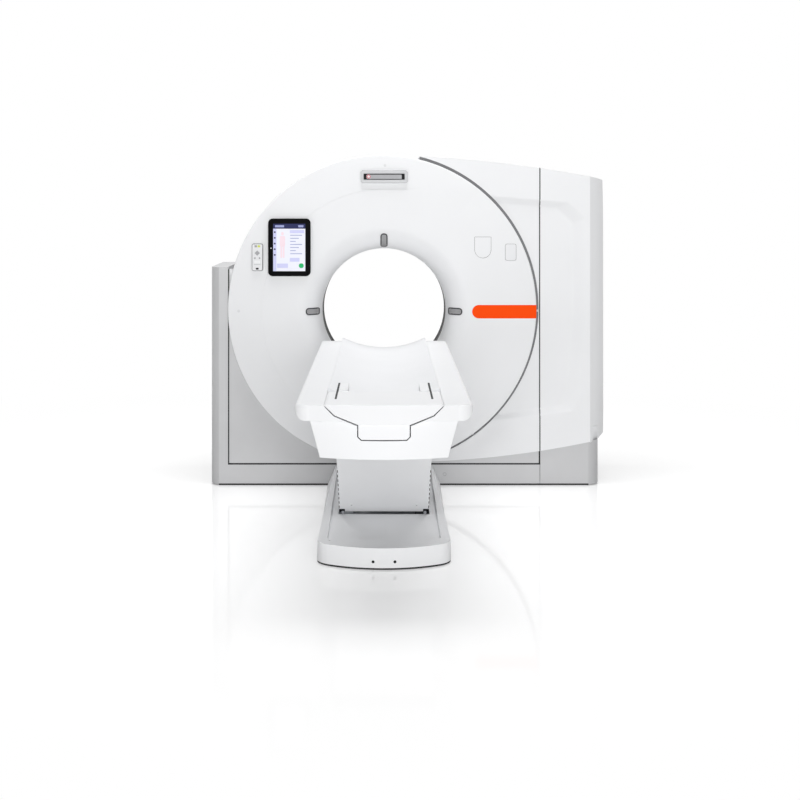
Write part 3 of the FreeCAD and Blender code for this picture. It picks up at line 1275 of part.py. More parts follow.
def foot_inner_plan(front, rear, depth):
    """Plan of the room inside the foot, with straight walls."""
    return outline(in_xy, (-rear, FOOT_REAR_Y), [
        (-front, FOOT_CORNER_Y), (-front / 2, FOOT_FRONT_Y + depth), (front / 2, FOOT_FRONT_Y + depth),
        (front, FOOT_CORNER_Y), (rear, FOOT_REAR_Y)])


def foot_hollow():
    """The room under the foot cover, with flat walls."""
    t = TABLE_WALL
    plan = foot_inner_plan(FOOT_HALF - t - FOOT_DRAFT, FOOT_REAR_TOP_HALF - t, WALL * t)
    return xy_prism(plan, SEAL_HEIGHT, FOOT_REAR_TOP_Z).cut(above_foot(t))


def foot_cover():
    t = TABLE_WALL
    cover = foot_form().cut(tray(0.0)).cut(foot_hollow().cut(tray(t)))
    cover = cover.cut(box(-WELL_HALF, WELL_HALF, WELL_FRONT_Y, WELL_REAR_Y, SEAL_HEIGHT, TRAY_Z + 1))
    for x in (-FOOT_HOLE_X, FOOT_HOLE_X):
        hole = flat_sided(FOOT_HOLE_R, FOOT_HOLE_SIDES, FOOT_FRONT_Y - 1, FOOT_FRONT_Y + 8 * t, x,
                          FOOT_HOLE_Z)
        cover = cover.cut(hole)
    return cover


def floor_seal():
    """Dark band under the edge of the foot cover."""
    band = foot_sides(SEAL_INSET).common(xy_prism(foot_plan(SEAL_INSET), 0, SEAL_HEIGHT))
    inner = FOOT_HALF - SEAL_INSET - SEAL_WIDTH
    return band.cut(xy_prism(foot_inner_plan(inner, inner, 2 * SEAL_WIDTH - 2 * SEAL_INSET), 0, SEAL_HEIGHT))


def foot_frame():
    """Floor plate bolted to the gantry's base, with lugs for the lower pivots."""
    plate = box(-FOOT_FRAME_HALF, FOOT_FRAME_HALF, FOOT_FRAME_FRONT_Y, RIM_BACK_Y + SHEET, 0, FOOT_PLATE)
    pieces = [plate]
    for half, y in ((LOWER_ARM_WIDTH, ARM_LOW_Y), (UPPER_ARM_WIDTH, ARM_LOW_Y + ARM_SPACING)):
        pieces.append(pivot_mount(half, y, ARM_LOW_Z, FOOT_PLATE))
    return one(pieces)


def lift_motor():
    """Gear motor beside the rear pivot, its gearbox against the pivot plate."""
    y = ARM_LOW_Y + ARM_SPACING
    x0 = UPPER_ARM_WIDTH + LUG_GAP + LUG_PLATE
    x1 = x0 + GEARBOX_WIDTH
    y1 = y + GEARBOX_WIDTH
    gearbox = box(x0, x1, y - GEARBOX_FRONT, y1, FOOT_PLATE, ARM_LOW_Z + GEARBOX_TOP)
    motor = box(-MOTOR_REACH, x1, y1, y1 + MOTOR_LENGTH, FOOT_PLATE, ARM_LOW_Z + MOTOR_TOP)
    return one([motor, gearbox])


# ---- all pieces

def gantry_covers():
    skin = front_skin()
    shell = side_shell()
    side_front, side_right = side_covers(shell)
    nodes = {
        "front_cover": front_cover(skin),
        "bore_liner": bore_liner(),
        "rear_cover": rear_cover(),
        "side_cover_front": side_front,
        "side_cover_right": side_right,
        "side_cover_rear": side_cover_rear(),
        "gap_strip": gap_strip(),
        "stand_cover_left": stand_cover_left(),
        "stand_cover_right": stand_cover_right(),
        "lower_front_panel": lower_panel(RIM_BACK_Y, RIM_BACK_Y + PANEL_DEPTH, SEAM_GAP),
        "lower_rear_panel": lower_panel(REAR_Y - SHEET, REAR_Y, SEAT),
        "infill_panel": infill_panel(),
        "accent_stripe": stripe_form(0.0, INLAY),
        "dock_lid": dock_form(LID_GAP, INLAY),
        "socket_lid": socket_form(LID_GAP, INLAY),
        "camera_bar": camera_bar(),
        "camera_window": camera_window(),
        "tablet": tablet(),
        "tablet_screen": screen_form(SEAT),
        "remote_control": remote_control(),
        "laser_modules": laser_modules(),
    }
    for name, angle in WINDOW_ANGLES.items():
        nodes[name] = laser_window(angle)
    for name in KEYS:
        nodes[name] = key(name)
    return nodes


def gantry_inside():
    nodes = {
        "base_frame": base_frame(),
        "main_bearing": main_bearing(),
        "drive_stator": drive_stator(),
        "brush_block": brush_block(),
        "power_unit": power_unit(),
        "rotor_frame": rotor_frame(),
        "slip_ring": slip_ring(),
        "xray_tube": xray_tube(),
        "collimator": collimator(),
        "detector_arc": detector_arc(),
        "tube_cooler": tube_cooler(),
    }
    for name, sizes in ROTOR_UNITS.items():
        nodes[name] = rotor_box(*sizes)
    return nodes


def table():
    trough = cradle()
    return {
        "foot_cover": foot_cover(),
        "floor_seal": floor_seal(),
        "foot_frame": foot_frame(),
        "lift_motor": lift_motor(),
        "lower_arm": arm_place(arm(LOWER_ARM_WIDTH, LOWER_ARM_HALF), ARM_LOW_Y, ARM_LOW_Z),
        "arm_cover": arm_place(arm_cover(), ARM_LOW_Y, ARM_LOW_Z),
        "upper_arm": arm_place(arm(UPPER_ARM_WIDTH, UPPER_ARM_HALF), ARM_LOW_Y + ARM_SPACING, ARM_LOW_Z),
        "table_frame": table_frame(),
        "guide_rails": guide_rails(),
        "drive_belt": drive_belt(),
        "table_lower_cover": table_lower_cover(),
        "table_top_cover": table_top_cover(),
        "cradle": trough,
        "cradle_end_cap": cradle_end_cap(trough),
        "carriage": carriage(),
        "carriage_drive": carriage_drive(),
    }


def main():
    os.makedirs("parts", exist_ok=True)
    for group in (gantry_covers(), gantry_inside(), table()):
        for name, shape in group.items():
            shape.exportStep(os.path.join("parts", name + ".step"))
            print(name, len(shape.Solids), shape.isValid(), round(shape.Volume / 1e6, 2))


main()
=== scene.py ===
# %% [markdown]
# A CT scanner: a big upright ring with a round tunnel, and in front of it a patient table that rises on two
# parallel arms. The CAD model is loaded first and stays fixed, in metres, with +Z up and +Y from the table
# into the tunnel. Everything that follows is laid on it: smooth covers, finishes and small details.

# %% Load the model that everything is laid on
import bpy
import bmesh
import json
import math
from mathutils import Matrix, Vector


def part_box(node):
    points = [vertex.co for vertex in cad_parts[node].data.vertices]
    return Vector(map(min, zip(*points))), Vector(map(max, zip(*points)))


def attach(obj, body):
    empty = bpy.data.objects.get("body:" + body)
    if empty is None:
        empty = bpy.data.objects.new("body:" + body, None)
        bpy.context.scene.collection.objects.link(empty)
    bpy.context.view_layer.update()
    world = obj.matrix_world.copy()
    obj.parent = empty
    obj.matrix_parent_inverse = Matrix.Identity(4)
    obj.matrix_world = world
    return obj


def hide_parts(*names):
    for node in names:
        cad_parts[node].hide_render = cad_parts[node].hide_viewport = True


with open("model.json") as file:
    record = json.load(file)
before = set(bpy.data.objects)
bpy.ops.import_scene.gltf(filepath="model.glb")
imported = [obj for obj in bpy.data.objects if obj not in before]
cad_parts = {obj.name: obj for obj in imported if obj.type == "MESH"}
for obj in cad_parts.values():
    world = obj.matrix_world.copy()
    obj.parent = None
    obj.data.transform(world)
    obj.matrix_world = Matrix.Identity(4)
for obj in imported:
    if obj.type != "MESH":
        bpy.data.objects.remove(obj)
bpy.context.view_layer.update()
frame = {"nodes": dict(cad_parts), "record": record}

nodes = frame["nodes"]
record = frame["record"]
body_of = {node: body for body, group in record["behaviour"]["bodies"].items() for node in group}
slot_of = {part["node"]: part["material_slot"] for part in record["subparts"]}

# %% [markdown]
# The covers of such a machine are moulded plastic with a very fine orange-peel surface and a soft gloss.
# Paint and plastic are never one flat tone, so each finish mixes two close shades with a slow noise, lets the
# gloss wander a little, and adds a fine bump. All patterns read Object coordinates, which stay with the
# piece.

# %% Builder for painted and moulded finishes
GLOSS_SPREAD = 0.05
LEAST_ROUGH = 0.02
COAT_ROUGH = 0.12
RELIEF_DEPTH = 0.0004
finishes = {}


def noise(tree, coords, scale, detail=2.0, stretch=(1, 1, 1)):
    """A noise pattern that can be stretched along the piece's own axes."""
    mapping = tree.nodes.new("ShaderNodeMapping")
    mapping.inputs["Scale"].default_value = stretch
    texture = tree.nodes.new("ShaderNodeTexNoise")
    texture.inputs["Scale"].default_value = scale
    texture.inputs["Detail"].default_value = detail
    tree.links.new(coords, mapping.inputs["Vector"])
    tree.links.new(mapping.outputs[0], texture.inputs["Vector"])
    return texture.outputs[0]


def shade(colour, factor):
    """The colour made lighter or darker, with the fourth value that Blender wants."""
    return tuple(min(1.0, c * factor) for c in colour) + (1.0,)


def finish(name, colour, rough, vary=0.02, patch=2.5, grain=700.0, bump=0.04, metallic=0.0, coat=0.0,
           stretch=(1, 1, 1), specular=0.5, glow=0.0):
    """Makes one finish and keeps it under its name, which is the record's slot name where it fills one."""
    material = bpy.data.materials.new(name)
    material.use_nodes = True
    tree = material.node_tree
    shader = tree.nodes["Principled BSDF"]
    shader.inputs["Metallic"].default_value = metallic
    shader.inputs["Coat Weight"].default_value = coat
    shader.inputs["Coat Roughness"].default_value = COAT_ROUGH
    shader.inputs["Specular IOR Level"].default_value = specular
    coords = tree.nodes.new("ShaderNodeTexCoord").outputs["Object"]
    ramp = tree.nodes.new("ShaderNodeValToRGB")
    ramp.color_ramp.elements[0].position = 0.3
    ramp.color_ramp.elements[1].position = 0.7
    ramp.color_ramp.elements[0].color = shade(colour, 1.0 - vary)
    ramp.color_ramp.elements[1].color = shade(colour, 1.0 + vary)
    tree.links.new(noise(tree, coords, patch, 3.0, stretch), ramp.inputs["Fac"])
    tree.links.new(ramp.outputs["Color"], shader.inputs["Base Color"])
    spread = tree.nodes.new("ShaderNodeMapRange")
    spread.inputs["To Min"].default_value = max(LEAST_ROUGH, rough - GLOSS_SPREAD)
    spread.inputs["To Max"].default_value = rough + GLOSS_SPREAD
    tree.links.new(noise(tree, coords, patch * 12, 2.0, stretch), spread.inputs["Value"])
    tree.links.new(spread.outputs[0], shader.inputs["Roughness"])
    relief = tree.nodes.new("ShaderNodeBump")
    relief.inputs["Strength"].default_value = bump
    relief.inputs["Distance"].default_value = RELIEF_DEPTH
    tree.links.new(noise(tree, coords, grain, 2.0, stretch), relief.inputs["Height"])
    tree.links.new(relief.outputs[0], shader.inputs["Normal"])
    if glow:
        tree.links.new(ramp.outputs["Color"], shader.inputs["Emission Color"])
        shader.inputs["Emission Strength"].default_value = glow
    finishes[name] = material


# %% [markdown]
# One finish for each material slot of the record, and a few that share a slot with a close relative. The
# covers are a cool white, the stand a silver-grey paint with a fine flake, the trim a flat orange, and the
# pieces inside have cast, ground and painted metal.

# %% The finishes, at least one for each slot
finish("white_plastic", (0.800, 0.806, 0.818), 0.44, vary=0.012, grain=900, bump=0.05, specular=0.25)
# The foot's finish is the white plastic made lighter: painted light on the foot, which sits in the shade
# under the table.
finish("foot_white_painted_light", (0.880, 0.886, 0.896), 0.44, vary=0.012, grain=900, bump=0.05, specular=0.25)
finish("cradle_shell", (0.790, 0.798, 0.815), 0.36, vary=0.014, grain=1200, bump=0.06, specular=0.3)
finish("silver_paint", (0.508, 0.510, 0.518), 0.46, vary=0.025, patch=5, grain=2400, bump=0.10, metallic=0.12)
finish("silver_plastic", (0.370, 0.374, 0.384), 0.42, vary=0.025, grain=1600, metallic=0.25)
finish("grey_plastic", (0.300, 0.305, 0.320), 0.45, vary=0.040, grain=1100, bump=0.08)
finish("dark_plastic", (0.008, 0.008, 0.009), 0.50, vary=0.200, grain=1500, bump=0.05, specular=0.12)
finish("tablet_black", (0.003, 0.003, 0.0035), 0.50, vary=0.200, grain=1500, bump=0.05, specular=0.03)
# The strip in the gap beside the round cover is a darker grey than its plastic: painted shade of the deep
# gap.
finish("strip_grey_painted_shade", (0.120, 0.122, 0.128), 0.45, vary=0.040, grain=1100, bump=0.08)
finish("orange_trim", (1.000, 0.072, 0.0005), 0.60, vary=0.015, grain=1200, bump=0.03, specular=0.08)
finish("screen_glass", (0.560, 0.580, 0.700), 0.40, vary=0.020, bump=0.01, specular=0.1, glow=0.10)
finish("key_green", (0.600, 0.680, 0.080), 0.48, vary=0.030, grain=1800, bump=0.10)
finish("key_grey", (0.330, 0.335, 0.345), 0.50, vary=0.050, grain=1800, bump=0.10)
finish("window_plastic", (0.320, 0.321, 0.326), 0.30, vary=0.120, patch=60, grain=1300, bump=0.03,
       stretch=(1, 1, 9))
finish("window_frame", (0.045, 0.045, 0.048), 0.35, vary=0.080, grain=1300, specular=0.3)
finish("frame_paint", (0.270, 0.285, 0.310), 0.48, vary=0.050, patch=7, grain=650, bump=0.20)
finish("bearing_steel", (0.560, 0.560, 0.570), 0.26, vary=0.040, grain=300, metallic=1.0, stretch=(1, 14, 1))
finish("motor_steel", (0.070, 0.073, 0.080), 0.50, vary=0.120, patch=12, grain=420, bump=0.35, metallic=0.4)
finish("cast_aluminium", (0.520, 0.528, 0.540), 0.42, vary=0.060, patch=16, grain=380, bump=0.30,
       metallic=0.85)
finish("ring_plastic", (0.330, 0.170, 0.050), 0.45, vary=0.080, patch=20, grain=900, bump=0.12)
finish("seal_rubber", (0.010, 0.010, 0.011), 0.62, vary=0.250, patch=30, grain=1400, bump=0.30)
for node, piece in nodes.items():
    piece.data.materials.clear()
    piece.data.materials.append(finishes[slot_of[node]])
print("finishes:", ", ".join(sorted(finishes)))

# %% [markdown]
# Every new piece is made the same way at the end: its mesh is written, curved faces are shaded smooth, edges
# sharper than a given angle stay crisp, and the piece is tied to the body that carries it.

# %% Finishing a new piece
FRONT = Vector((0, -1, 0))
SAME_PLACE = 0.00001


def as_object(name, bm):
    """Writes the mesh into a new object of the scene."""
    mesh = bpy.data.meshes.new(name)
    bm.to_mesh(mesh)
    bm.free()
    made = bpy.data.objects.new(name, mesh)
    bpy.context.scene.collection.objects.link(made)
    return made


def shade_smooth(mesh, crisp):
    """Smooth shading, apart from the edges sharper than the crisp angle in degrees."""
    for face in mesh.polygons:
        face.use_smooth = True
    mesh.set_sharp_from_angle(angle=math.radians(crisp))


def put(name, bm, body, slot, extra=(), crisp=32.0, stands_for=()):
    """Makes the mesh a piece of a body, with its finishes. It may stand for pieces of the CAD model."""
    piece = as_object(name, bm)
    shade_smooth(piece.data, crisp)
    for each in (slot,) + tuple(extra):
        piece.data.materials.append(finishes[each])
    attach(piece, body)
    if stands_for:
        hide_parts(*stands_for)
    return piece


def outward(bm, towards=None):
    """Faces point out. An open sheet is turned so that it looks the given way."""
    bmesh.ops.recalc_face_normals(bm, faces=bm.faces)
    if towards is not None:
        bm.normal_update()
        if sum(face.normal.dot(towards) * face.calc_area() for face in bm.faces) < 0:
            bmesh.ops.reverse_faces(bm, faces=bm.faces)


def give_wall(piece, thickness):
    """Solidify turns an open sheet into a wall that grows inwards."""
    wall = piece.modifiers.new("wall", "SOLIDIFY")
    wall.thickness = thickness
    wall.offset = -1


def new_verts(made):
    """The vertices among what an operator has made."""
    return [part for part in made["geom"] if isinstance(part, bmesh.types.BMVert)]


def slice_across(bm, place, way, **more):
    """Cuts all faces along a plane, so that they have vertices there."""
    bmesh.ops.bisect_plane(bm, geom=bm.verts[:] + bm.edges[:] + bm.faces[:], dist=SAME_PLACE, plane_co=place,
                           plane_no=way, **more)


# %% [markdown]
# Most covers already have the right shape in the CAD model, but as loose flat triangles with knife edges. A
# real moulding has a small radius on every edge, which catches a thin line of light. So a copy of the mesh is
# merged, its coplanar triangles are joined into whole faces, and a Bevel modifier rounds the edges that are
# sharp.

# %% A merged, rounded copy of a CAD piece
FLAT_ANGLE = math.radians(0.6)
BEVEL_ANGLE = math.radians(38)


def rounded(node, radius, segments=2, slot=None, soften=(), shape=None, merge=0.00002):
    """Stands for a CAD piece. Each entry of soften is a test for edges, a width of round and its steps."""
    bm = bmesh.new()
    bm.from_mesh(nodes[node].data)
    bmesh.ops.remove_doubles(bm, verts=bm.verts, dist=merge)
    bmesh.ops.dissolve_limit(bm, angle_limit=FLAT_ANGLE, use_dissolve_boundaries=False, verts=bm.verts,
                             edges=bm.edges, delimit=set())
    if shape:
        shape(bm)
    bm.normal_update()
    for wanted, reach, steps in soften:
        chosen = [edge for edge in bm.edges if len(edge.link_faces) == 2 and wanted(edge)]
        bmesh.ops.bevel(bm, geom=chosen, offset=reach, segments=steps, profile=0.5, affect="EDGES",
                        material=-1, clamp_overlap=True)
        print(node, "softened edges:", len(chosen))
        # The long side walls have hollow outlines, which fill without folds when corners are clipped off.
        long_walls = [face for face in bm.faces if len(face.verts) > 12 and abs(face.normal.x) > 0.99]
        bmesh.ops.triangulate(bm, faces=long_walls, quad_method="BEAUTY", ngon_method="EAR_CLIP")
    piece = put(node + "_rounded", bm, body_of[node], slot or slot_of[node], crisp=26, stands_for=(node,))
    if radius:
        edge = piece.modifiers.new("rounded edges", "BEVEL")
        edge.width = radius
        edge.segments = segments
        edge.limit_method = "ANGLE"
        edge.angle_limit = BEVEL_ANGLE
        edge.harden_normals = True
        edge.use_clamp_overlap = True
    even = piece.modifiers.new("even shading", "WEIGHTED_NORMAL")
    even.keep_sharp = True


# %% [markdown]
# The side cover has a long shallow field in its face. Its slopes run into the face in a soft bend, far wider
# than the radius on the cover's edges. A test picks the slopes' outside edges, and only those get a wide
# Bevel.

# %% The side covers
SIDE_FACE = -0.205
FIELD_FACE = -0.191
FIELD_PLAY = 0.0006
FIELD_RIGHT = 1.145
FIELD_FOOT = 0.30


def in_field(edge):
    """True for an edge of the slopes round the side cover's field, on the outside of the cover."""
    at = (edge.verts[0].co + edge.verts[1].co) / 2
    near = all(SIDE_FACE - FIELD_PLAY < v.co.y < FIELD_FACE + FIELD_PLAY and v.co.x < FIELD_RIGHT
               for v in edge.verts)
    outside = all(face.normal.y < -0.5 for face in edge.link_faces)
    bend = math.degrees(edge.calc_face_angle(0.0))
    return near and outside and at.z > FIELD_FOOT and 5 < bend < 45


for node in ("side_cover_front", "side_cover_right"):
    rounded(node, 0.0015, soften=((in_field, 0.010, 4),))

# %% [markdown]
# The table's foot is a shallow tray whose front bulges out in a wide arc. Seen from above, its front corners
# are round. Both pieces there, the tray and the seal under it, are bent by one function: it slices the walls
# into narrow strips first, then pulls each vertex near a corner back to the corner's circle.

# %% The foot and its seal
FOOT_HALF = 0.2985
FOOT_CORNER_R = 0.100
FOOT_ARC_Y = -1.3899
FOOT_ARC_R = 0.5051
CORNER_DEPTH = 0.066
CORNER_BAND = 0.045
STRIPS = 10


def round_foot(bm):
    """Rounds the foot's front corners as seen from above. Extra cuts give the walls something to bend."""
    cx = FOOT_HALF - FOOT_CORNER_R
    cy = FOOT_ARC_Y - math.sqrt((FOOT_ARC_R - FOOT_CORNER_R) ** 2 - cx ** 2)
    for i in range(1, STRIPS):
        slice_across(bm, (0, cy - CORNER_DEPTH * i / STRIPS, 0), (0, 1, 0))
        slice_across(bm, (cx + FOOT_CORNER_R * i / STRIPS, 0, 0), (1, 0, 0))
        slice_across(bm, (-cx - FOOT_CORNER_R * i / STRIPS, 0, 0), (1, 0, 0))
    tangent = Vector((cx, cy - FOOT_ARC_Y)).normalized()
    for vert in bm.verts:
        out = Vector((abs(vert.co.x) - cx, vert.co.y - cy))
        way = out.normalized()
        if out.x > 0 > out.y and way.y > tangent.y and out.length > FOOT_CORNER_R - CORNER_BAND:
            past = cx * way.x + (cy - FOOT_ARC_Y) * way.y
            to_arc = -past + math.sqrt(past ** 2 - (cx ** 2 + (cy - FOOT_ARC_Y) ** 2 - FOOT_ARC_R ** 2))
            out -= way * (min(to_arc, (FOOT_HALF - cx) / max(way.x, 0.001)) - FOOT_CORNER_R)
            vert.co.x = math.copysign(cx + out.x, vert.co.x)
            vert.co.y = cy + out.y


# The foot takes the lighter copy of the white plastic, which is painted light.
rounded("foot_cover", 0.006, 4, slot="foot_white_painted_light", shape=round_foot, merge=0.0016)
rounded("floor_seal", 0.0, shape=round_foot)
print("foot", 2 * FOOT_HALF, "m wide, corner radius", FOOT_CORNER_R)

# %% [markdown]
# The other covers, the table's parts and the machinery inside only need their edges rounded. A dictionary
# gives each piece its radius: small on thin lids and keys, larger on castings and boxes.

# %% The other covers and the pieces inside
EDGE_RADII = {
    "side_cover_rear": 0.002, "stand_cover_left": 0.002, "stand_cover_right": 0.002,
    "lower_front_panel": 0.0015, "lower_rear_panel": 0.001, "infill_panel": 0.0008,
    "table_top_cover": 0.002, "table_lower_cover": 0.0015, "cradle": 0.002, "cradle_end_cap": 0.002,
    "arm_cover": 0.0015, "lower_arm": 0.002, "upper_arm": 0.002,
    "camera_bar": 0.0012, "camera_window": 0.0003, "dock_lid": 0.0003, "accent_stripe": 0.0,
    "key_pad": 0.0004, "key_left": 0.0004, "key_right": 0.0004,
    "rotor_frame": 0.002, "xray_tube": 0.002, "high_voltage_generator": 0.003, "data_unit": 0.003,
    "counterweight": 0.003, "detector_arc": 0.002, "tube_cooler": 0.0015, "lift_motor": 0.002,
}
# The grey strip deep in the gap takes the darker finish, which paints the gap's shade.
rounded("gap_strip", 0.0, slot="strip_grey_painted_shade")
for node, radius in EDGE_RADII.items():
    rounded(node, radius)

# %% [markdown]
# The round front cover is the face of the machine. Its tunnel mouth is a quarter circle turned about the
# tunnel's axis, which Spin makes in one step. Outside that the face is flat up to a crease, and leans back 3
# degrees beyond it: round the left half the crease follows the tunnel, and on the right it runs straight on.

# %% Sizes of the round cover: rim and face from the CAD model, the others as in its source
low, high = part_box("front_cover")
RIM_R = (high.x - low.x) / 2
RIM_X = (high.x + low.x) / 2
RIM_Z = (high.z + low.z) / 2
FACE = low.y
AXIS_Z = 0.980  # height of the tunnel's axis
BORE_R = 0.350  # the tunnel is 700 mm across
FLARE = 0.125  # radius of the mouth's quarter circle
CREASE = 0.683  # from the tunnel's axis to the crease
SOFT = 0.008  # how far the bend spreads on either side of the crease
GROOVE = 0.0013  # depth of the fine line along it
LEAN = math.tan(math.radians(3.0))
RIM_BACK = -0.197  # where the rim's wall ends
TUNNEL = 0.098  # half the length of the tunnel's straight part
COVER_WALL = 0.006
COVER_CRISP = 34  # degrees
AXIS = (0, 0, AXIS_Z)
print("rim radius", round(RIM_R, 4), "centre", round(RIM_X, 4), round(RIM_Z, 4), "face at", round(FACE, 4))


def from_axis(place):
    """Distance from the tunnel's axis."""
    return math.hypot(place.x, place.z - AXIS_Z)


def face_depth(x, z):
    """How far back the round cover's front lies at a place seen from the front."""
    r = math.hypot(x, z - AXIS_Z)
    if r < BORE_R + FLARE:
        return FACE + FLARE - math.sqrt(max(0.0, FLARE ** 2 - (BORE_R + FLARE - r) ** 2))
    past = (r if x < 0 else abs(z - AXIS_Z)) - CREASE
    # The fine line fades out on the right, between x = 0.05 and x = 0.3.
    fade_right = min(1.0, max(0.0, 1.2 - 4 * x))
    line = GROOVE * max(0.0, 1 - abs(past) / (0.2 * SOFT)) * fade_right
    if past < -SOFT:
        return FACE
    if past < SOFT:
        return FACE + line + LEAN * (past + SOFT) ** 2 / (4 * SOFT)
    return FACE + LEAN * past


def to_rim(vert, radius):
    """Moves a vertex outwards from the tunnel's axis to a circle round the rim's centre."""
    way = Vector((vert.co.x, vert.co.z - AXIS_Z)).normalized()
    centre = Vector((RIM_X, RIM_Z - AXIS_Z))
    along = way.dot(centre)
    reach = along + math.sqrt(along ** 2 - centre.length_squared + radius ** 2)
    vert.co.x, vert.co.z = way.x * reach, AXIS_Z + way.y * reach


# %% Helpers for turned shapes
def chain(bm, points):
    """An open line of vertices and edges."""
    verts = [bm.verts.new(point) for point in points]
    return verts, [bm.edges.new(pair) for pair in zip(verts[:-1], verts[1:])]


def turned(bm, points, centre, steps, closed=False):
    """Spins a line of points once round an axis that runs from front to back."""
    verts, edges = chain(bm, points)
    if closed:
        edges.append(bm.edges.new((verts[-1], verts[0])))
    bmesh.ops.spin(bm, geom=verts + edges, cent=centre, axis=(0, 1, 0), dvec=(0, 0, 0), angle=math.tau,
                   steps=steps, use_merge=True, use_duplicate=False)
    bmesh.ops.remove_doubles(bm, verts=bm.verts, dist=SAME_PLACE)


def ring_edges(bm, keep):
    """The open edges whose ends both lie where keep wants them."""
    return [edge for edge in bm.edges
            if edge.is_boundary and keep(edge.verts[0].co) and keep(edge.verts[1].co)]


# %% [markdown]
# The wall starts as a line from the tunnel over the mouth to the crease, spun about the axis. Its outer loop
# is then extruded and moved out to the rim, which is a circle about a centre of its own. On the right the
# crease runs straight, so the face is sliced there in straight rows, and at last every vertex is set to its
# depth.

# %% The smooth wall of the round cover
MOUTH_STEPS = 20
MID_FACE_R = 0.560
NEAR_FACE = FACE + 0.001
NEAR_RIM = RIM_R - 0.004
crease_steps = [CREASE + SOFT * share for share in (-1.0, -0.6, -0.2, 0.0, 0.2, 0.6, 1.0)]
profile = [(BORE_R, -TUNNEL), (BORE_R, FACE + FLARE)]
for i in range(1, MOUTH_STEPS + 1):
    turn = math.pi / 2 * i / MOUTH_STEPS
    profile.append((BORE_R + FLARE * (1 - math.cos(turn)), FACE + FLARE * (1 - math.sin(turn))))
profile += [(r, FACE) for r in [MID_FACE_R] + crease_steps]
bm = bmesh.new()
turned(bm, [(r, y, AXIS_Z) for r, y in profile], AXIS, 240)
outer = ring_edges(bm, lambda co: co.y < NEAR_FACE)
for vert in new_verts(bmesh.ops.extrude_edge_only(bm, edges=outer)):
    to_rim(vert, RIM_R)
for step in crease_steps:
    for side in (1, -1):
        zone = [face for face in bm.faces if face.calc_center_median().x > 0
                and from_axis(face.calc_center_median()) > crease_steps[0]]
        geom = dict.fromkeys(zone + [e for f in zone for e in f.edges] + [v for f in zone for v in f.verts])
        bmesh.ops.bisect_plane(bm, geom=list(geom), dist=0.00002, plane_co=(0, 0, AXIS_Z + side * step),
                               plane_no=(0, 0, 1))
for vert in bm.verts:
    if vert.co.y < NEAR_FACE:
        vert.co.y = face_depth(vert.co.x, vert.co.z)
outward(bm, FRONT)
print("sheet of the round cover:", len(bm.faces), "faces")

# %% The rim's wall and its round corner
RIM_ROUND = 0.007


def from_rim_centre(place):
    """Distance from the rim's own centre."""
    return math.hypot(place.x - RIM_X, place.z - RIM_Z)


rim = ring_edges(bm, lambda co: from_rim_centre(co) > NEAR_RIM)
for vert in new_verts(bmesh.ops.extrude_edge_only(bm, edges=rim)):
    vert.co.y = RIM_BACK
bm.normal_update()
corner = [edge for edge in bm.edges
          if len(edge.link_faces) == 2 and edge.calc_face_angle(0.0) > math.radians(50)
          and min(from_rim_centre(v.co) for v in edge.verts) > NEAR_RIM]
bmesh.ops.bevel(bm, geom=corner, offset=RIM_ROUND, segments=4, profile=0.5, affect="EDGES", material=-1)
outward(bm, FRONT)
print("round cover wall:", len(bm.faces), "faces, rim edges", len(corner))
round_front = put("round_front_cover", bm, "gantry", "white_plastic", crisp=COVER_CRISP,
                  stands_for=("front_cover",))

# %% [markdown]
# Windows, lids, the stripe and the camera bar all sit in recesses of this cover. The wall gets its 6 mm from
# Solidify, and one Boolean takes out all recesses at once. Each cutter is a flat outline with rounded
# corners, drawn from four vertices, bevelled at the corners and extruded.

# %% Flat outlines with rounded corners
def outline(bm, edges, y, radii=(0, 0, 0, 0), steps=6):
    """A face seen from the front, edges being x0, x1, z0, z1. The radii go round from the low left corner."""
    x0, x1, z0, z1 = edges
    before = set(bm.faces)
    corners = [bm.verts.new(place) for place in ((x0, y, z0), (x1, y, z0), (x1, y, z1), (x0, y, z1))]
    bm.faces.new(corners)
    for vert, radius in zip(corners, radii):
        if radius:
            bmesh.ops.bevel(bm, geom=[vert], offset=radius, segments=steps, profile=0.5, affect="VERTICES",
                            material=-1)
    return [face for face in bm.faces if face not in before]


def slab(bm, edges, depth, radii=(0, 0, 0, 0), steps=6):
    """A plate between two depths, y0 and y1, made from an outline."""
    before = set(bm.faces)
    made = outline(bm, edges, depth[0], radii, steps)
    grown = bmesh.ops.extrude_face_region(bm, geom=made, use_keep_orig=True)
    bmesh.ops.translate(bm, verts=new_verts(grown), vec=(0, depth[1] - depth[0], 0))
    return [face for face in bm.faces if face not in before]


def around(x, z, width, height):
    """The edges of an outline about its middle."""
    return x - width / 2, x + width / 2, z - height / 2, z + height / 2


def edges_of(node, gap=0.0):
    """The edges of a CAD piece seen from the front, with a gap all round."""
    low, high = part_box(node)
    return low.x - gap, high.x + gap, low.z - gap, high.z + gap


def turn_about_axis(bm, faces, angle):
    """Turns faces about the tunnel's axis."""
    verts = list({v for face in faces for v in face.verts})
    bmesh.ops.rotate(bm, verts=verts, cent=AXIS, matrix=Matrix.Rotation(-angle, 3, "Y"))


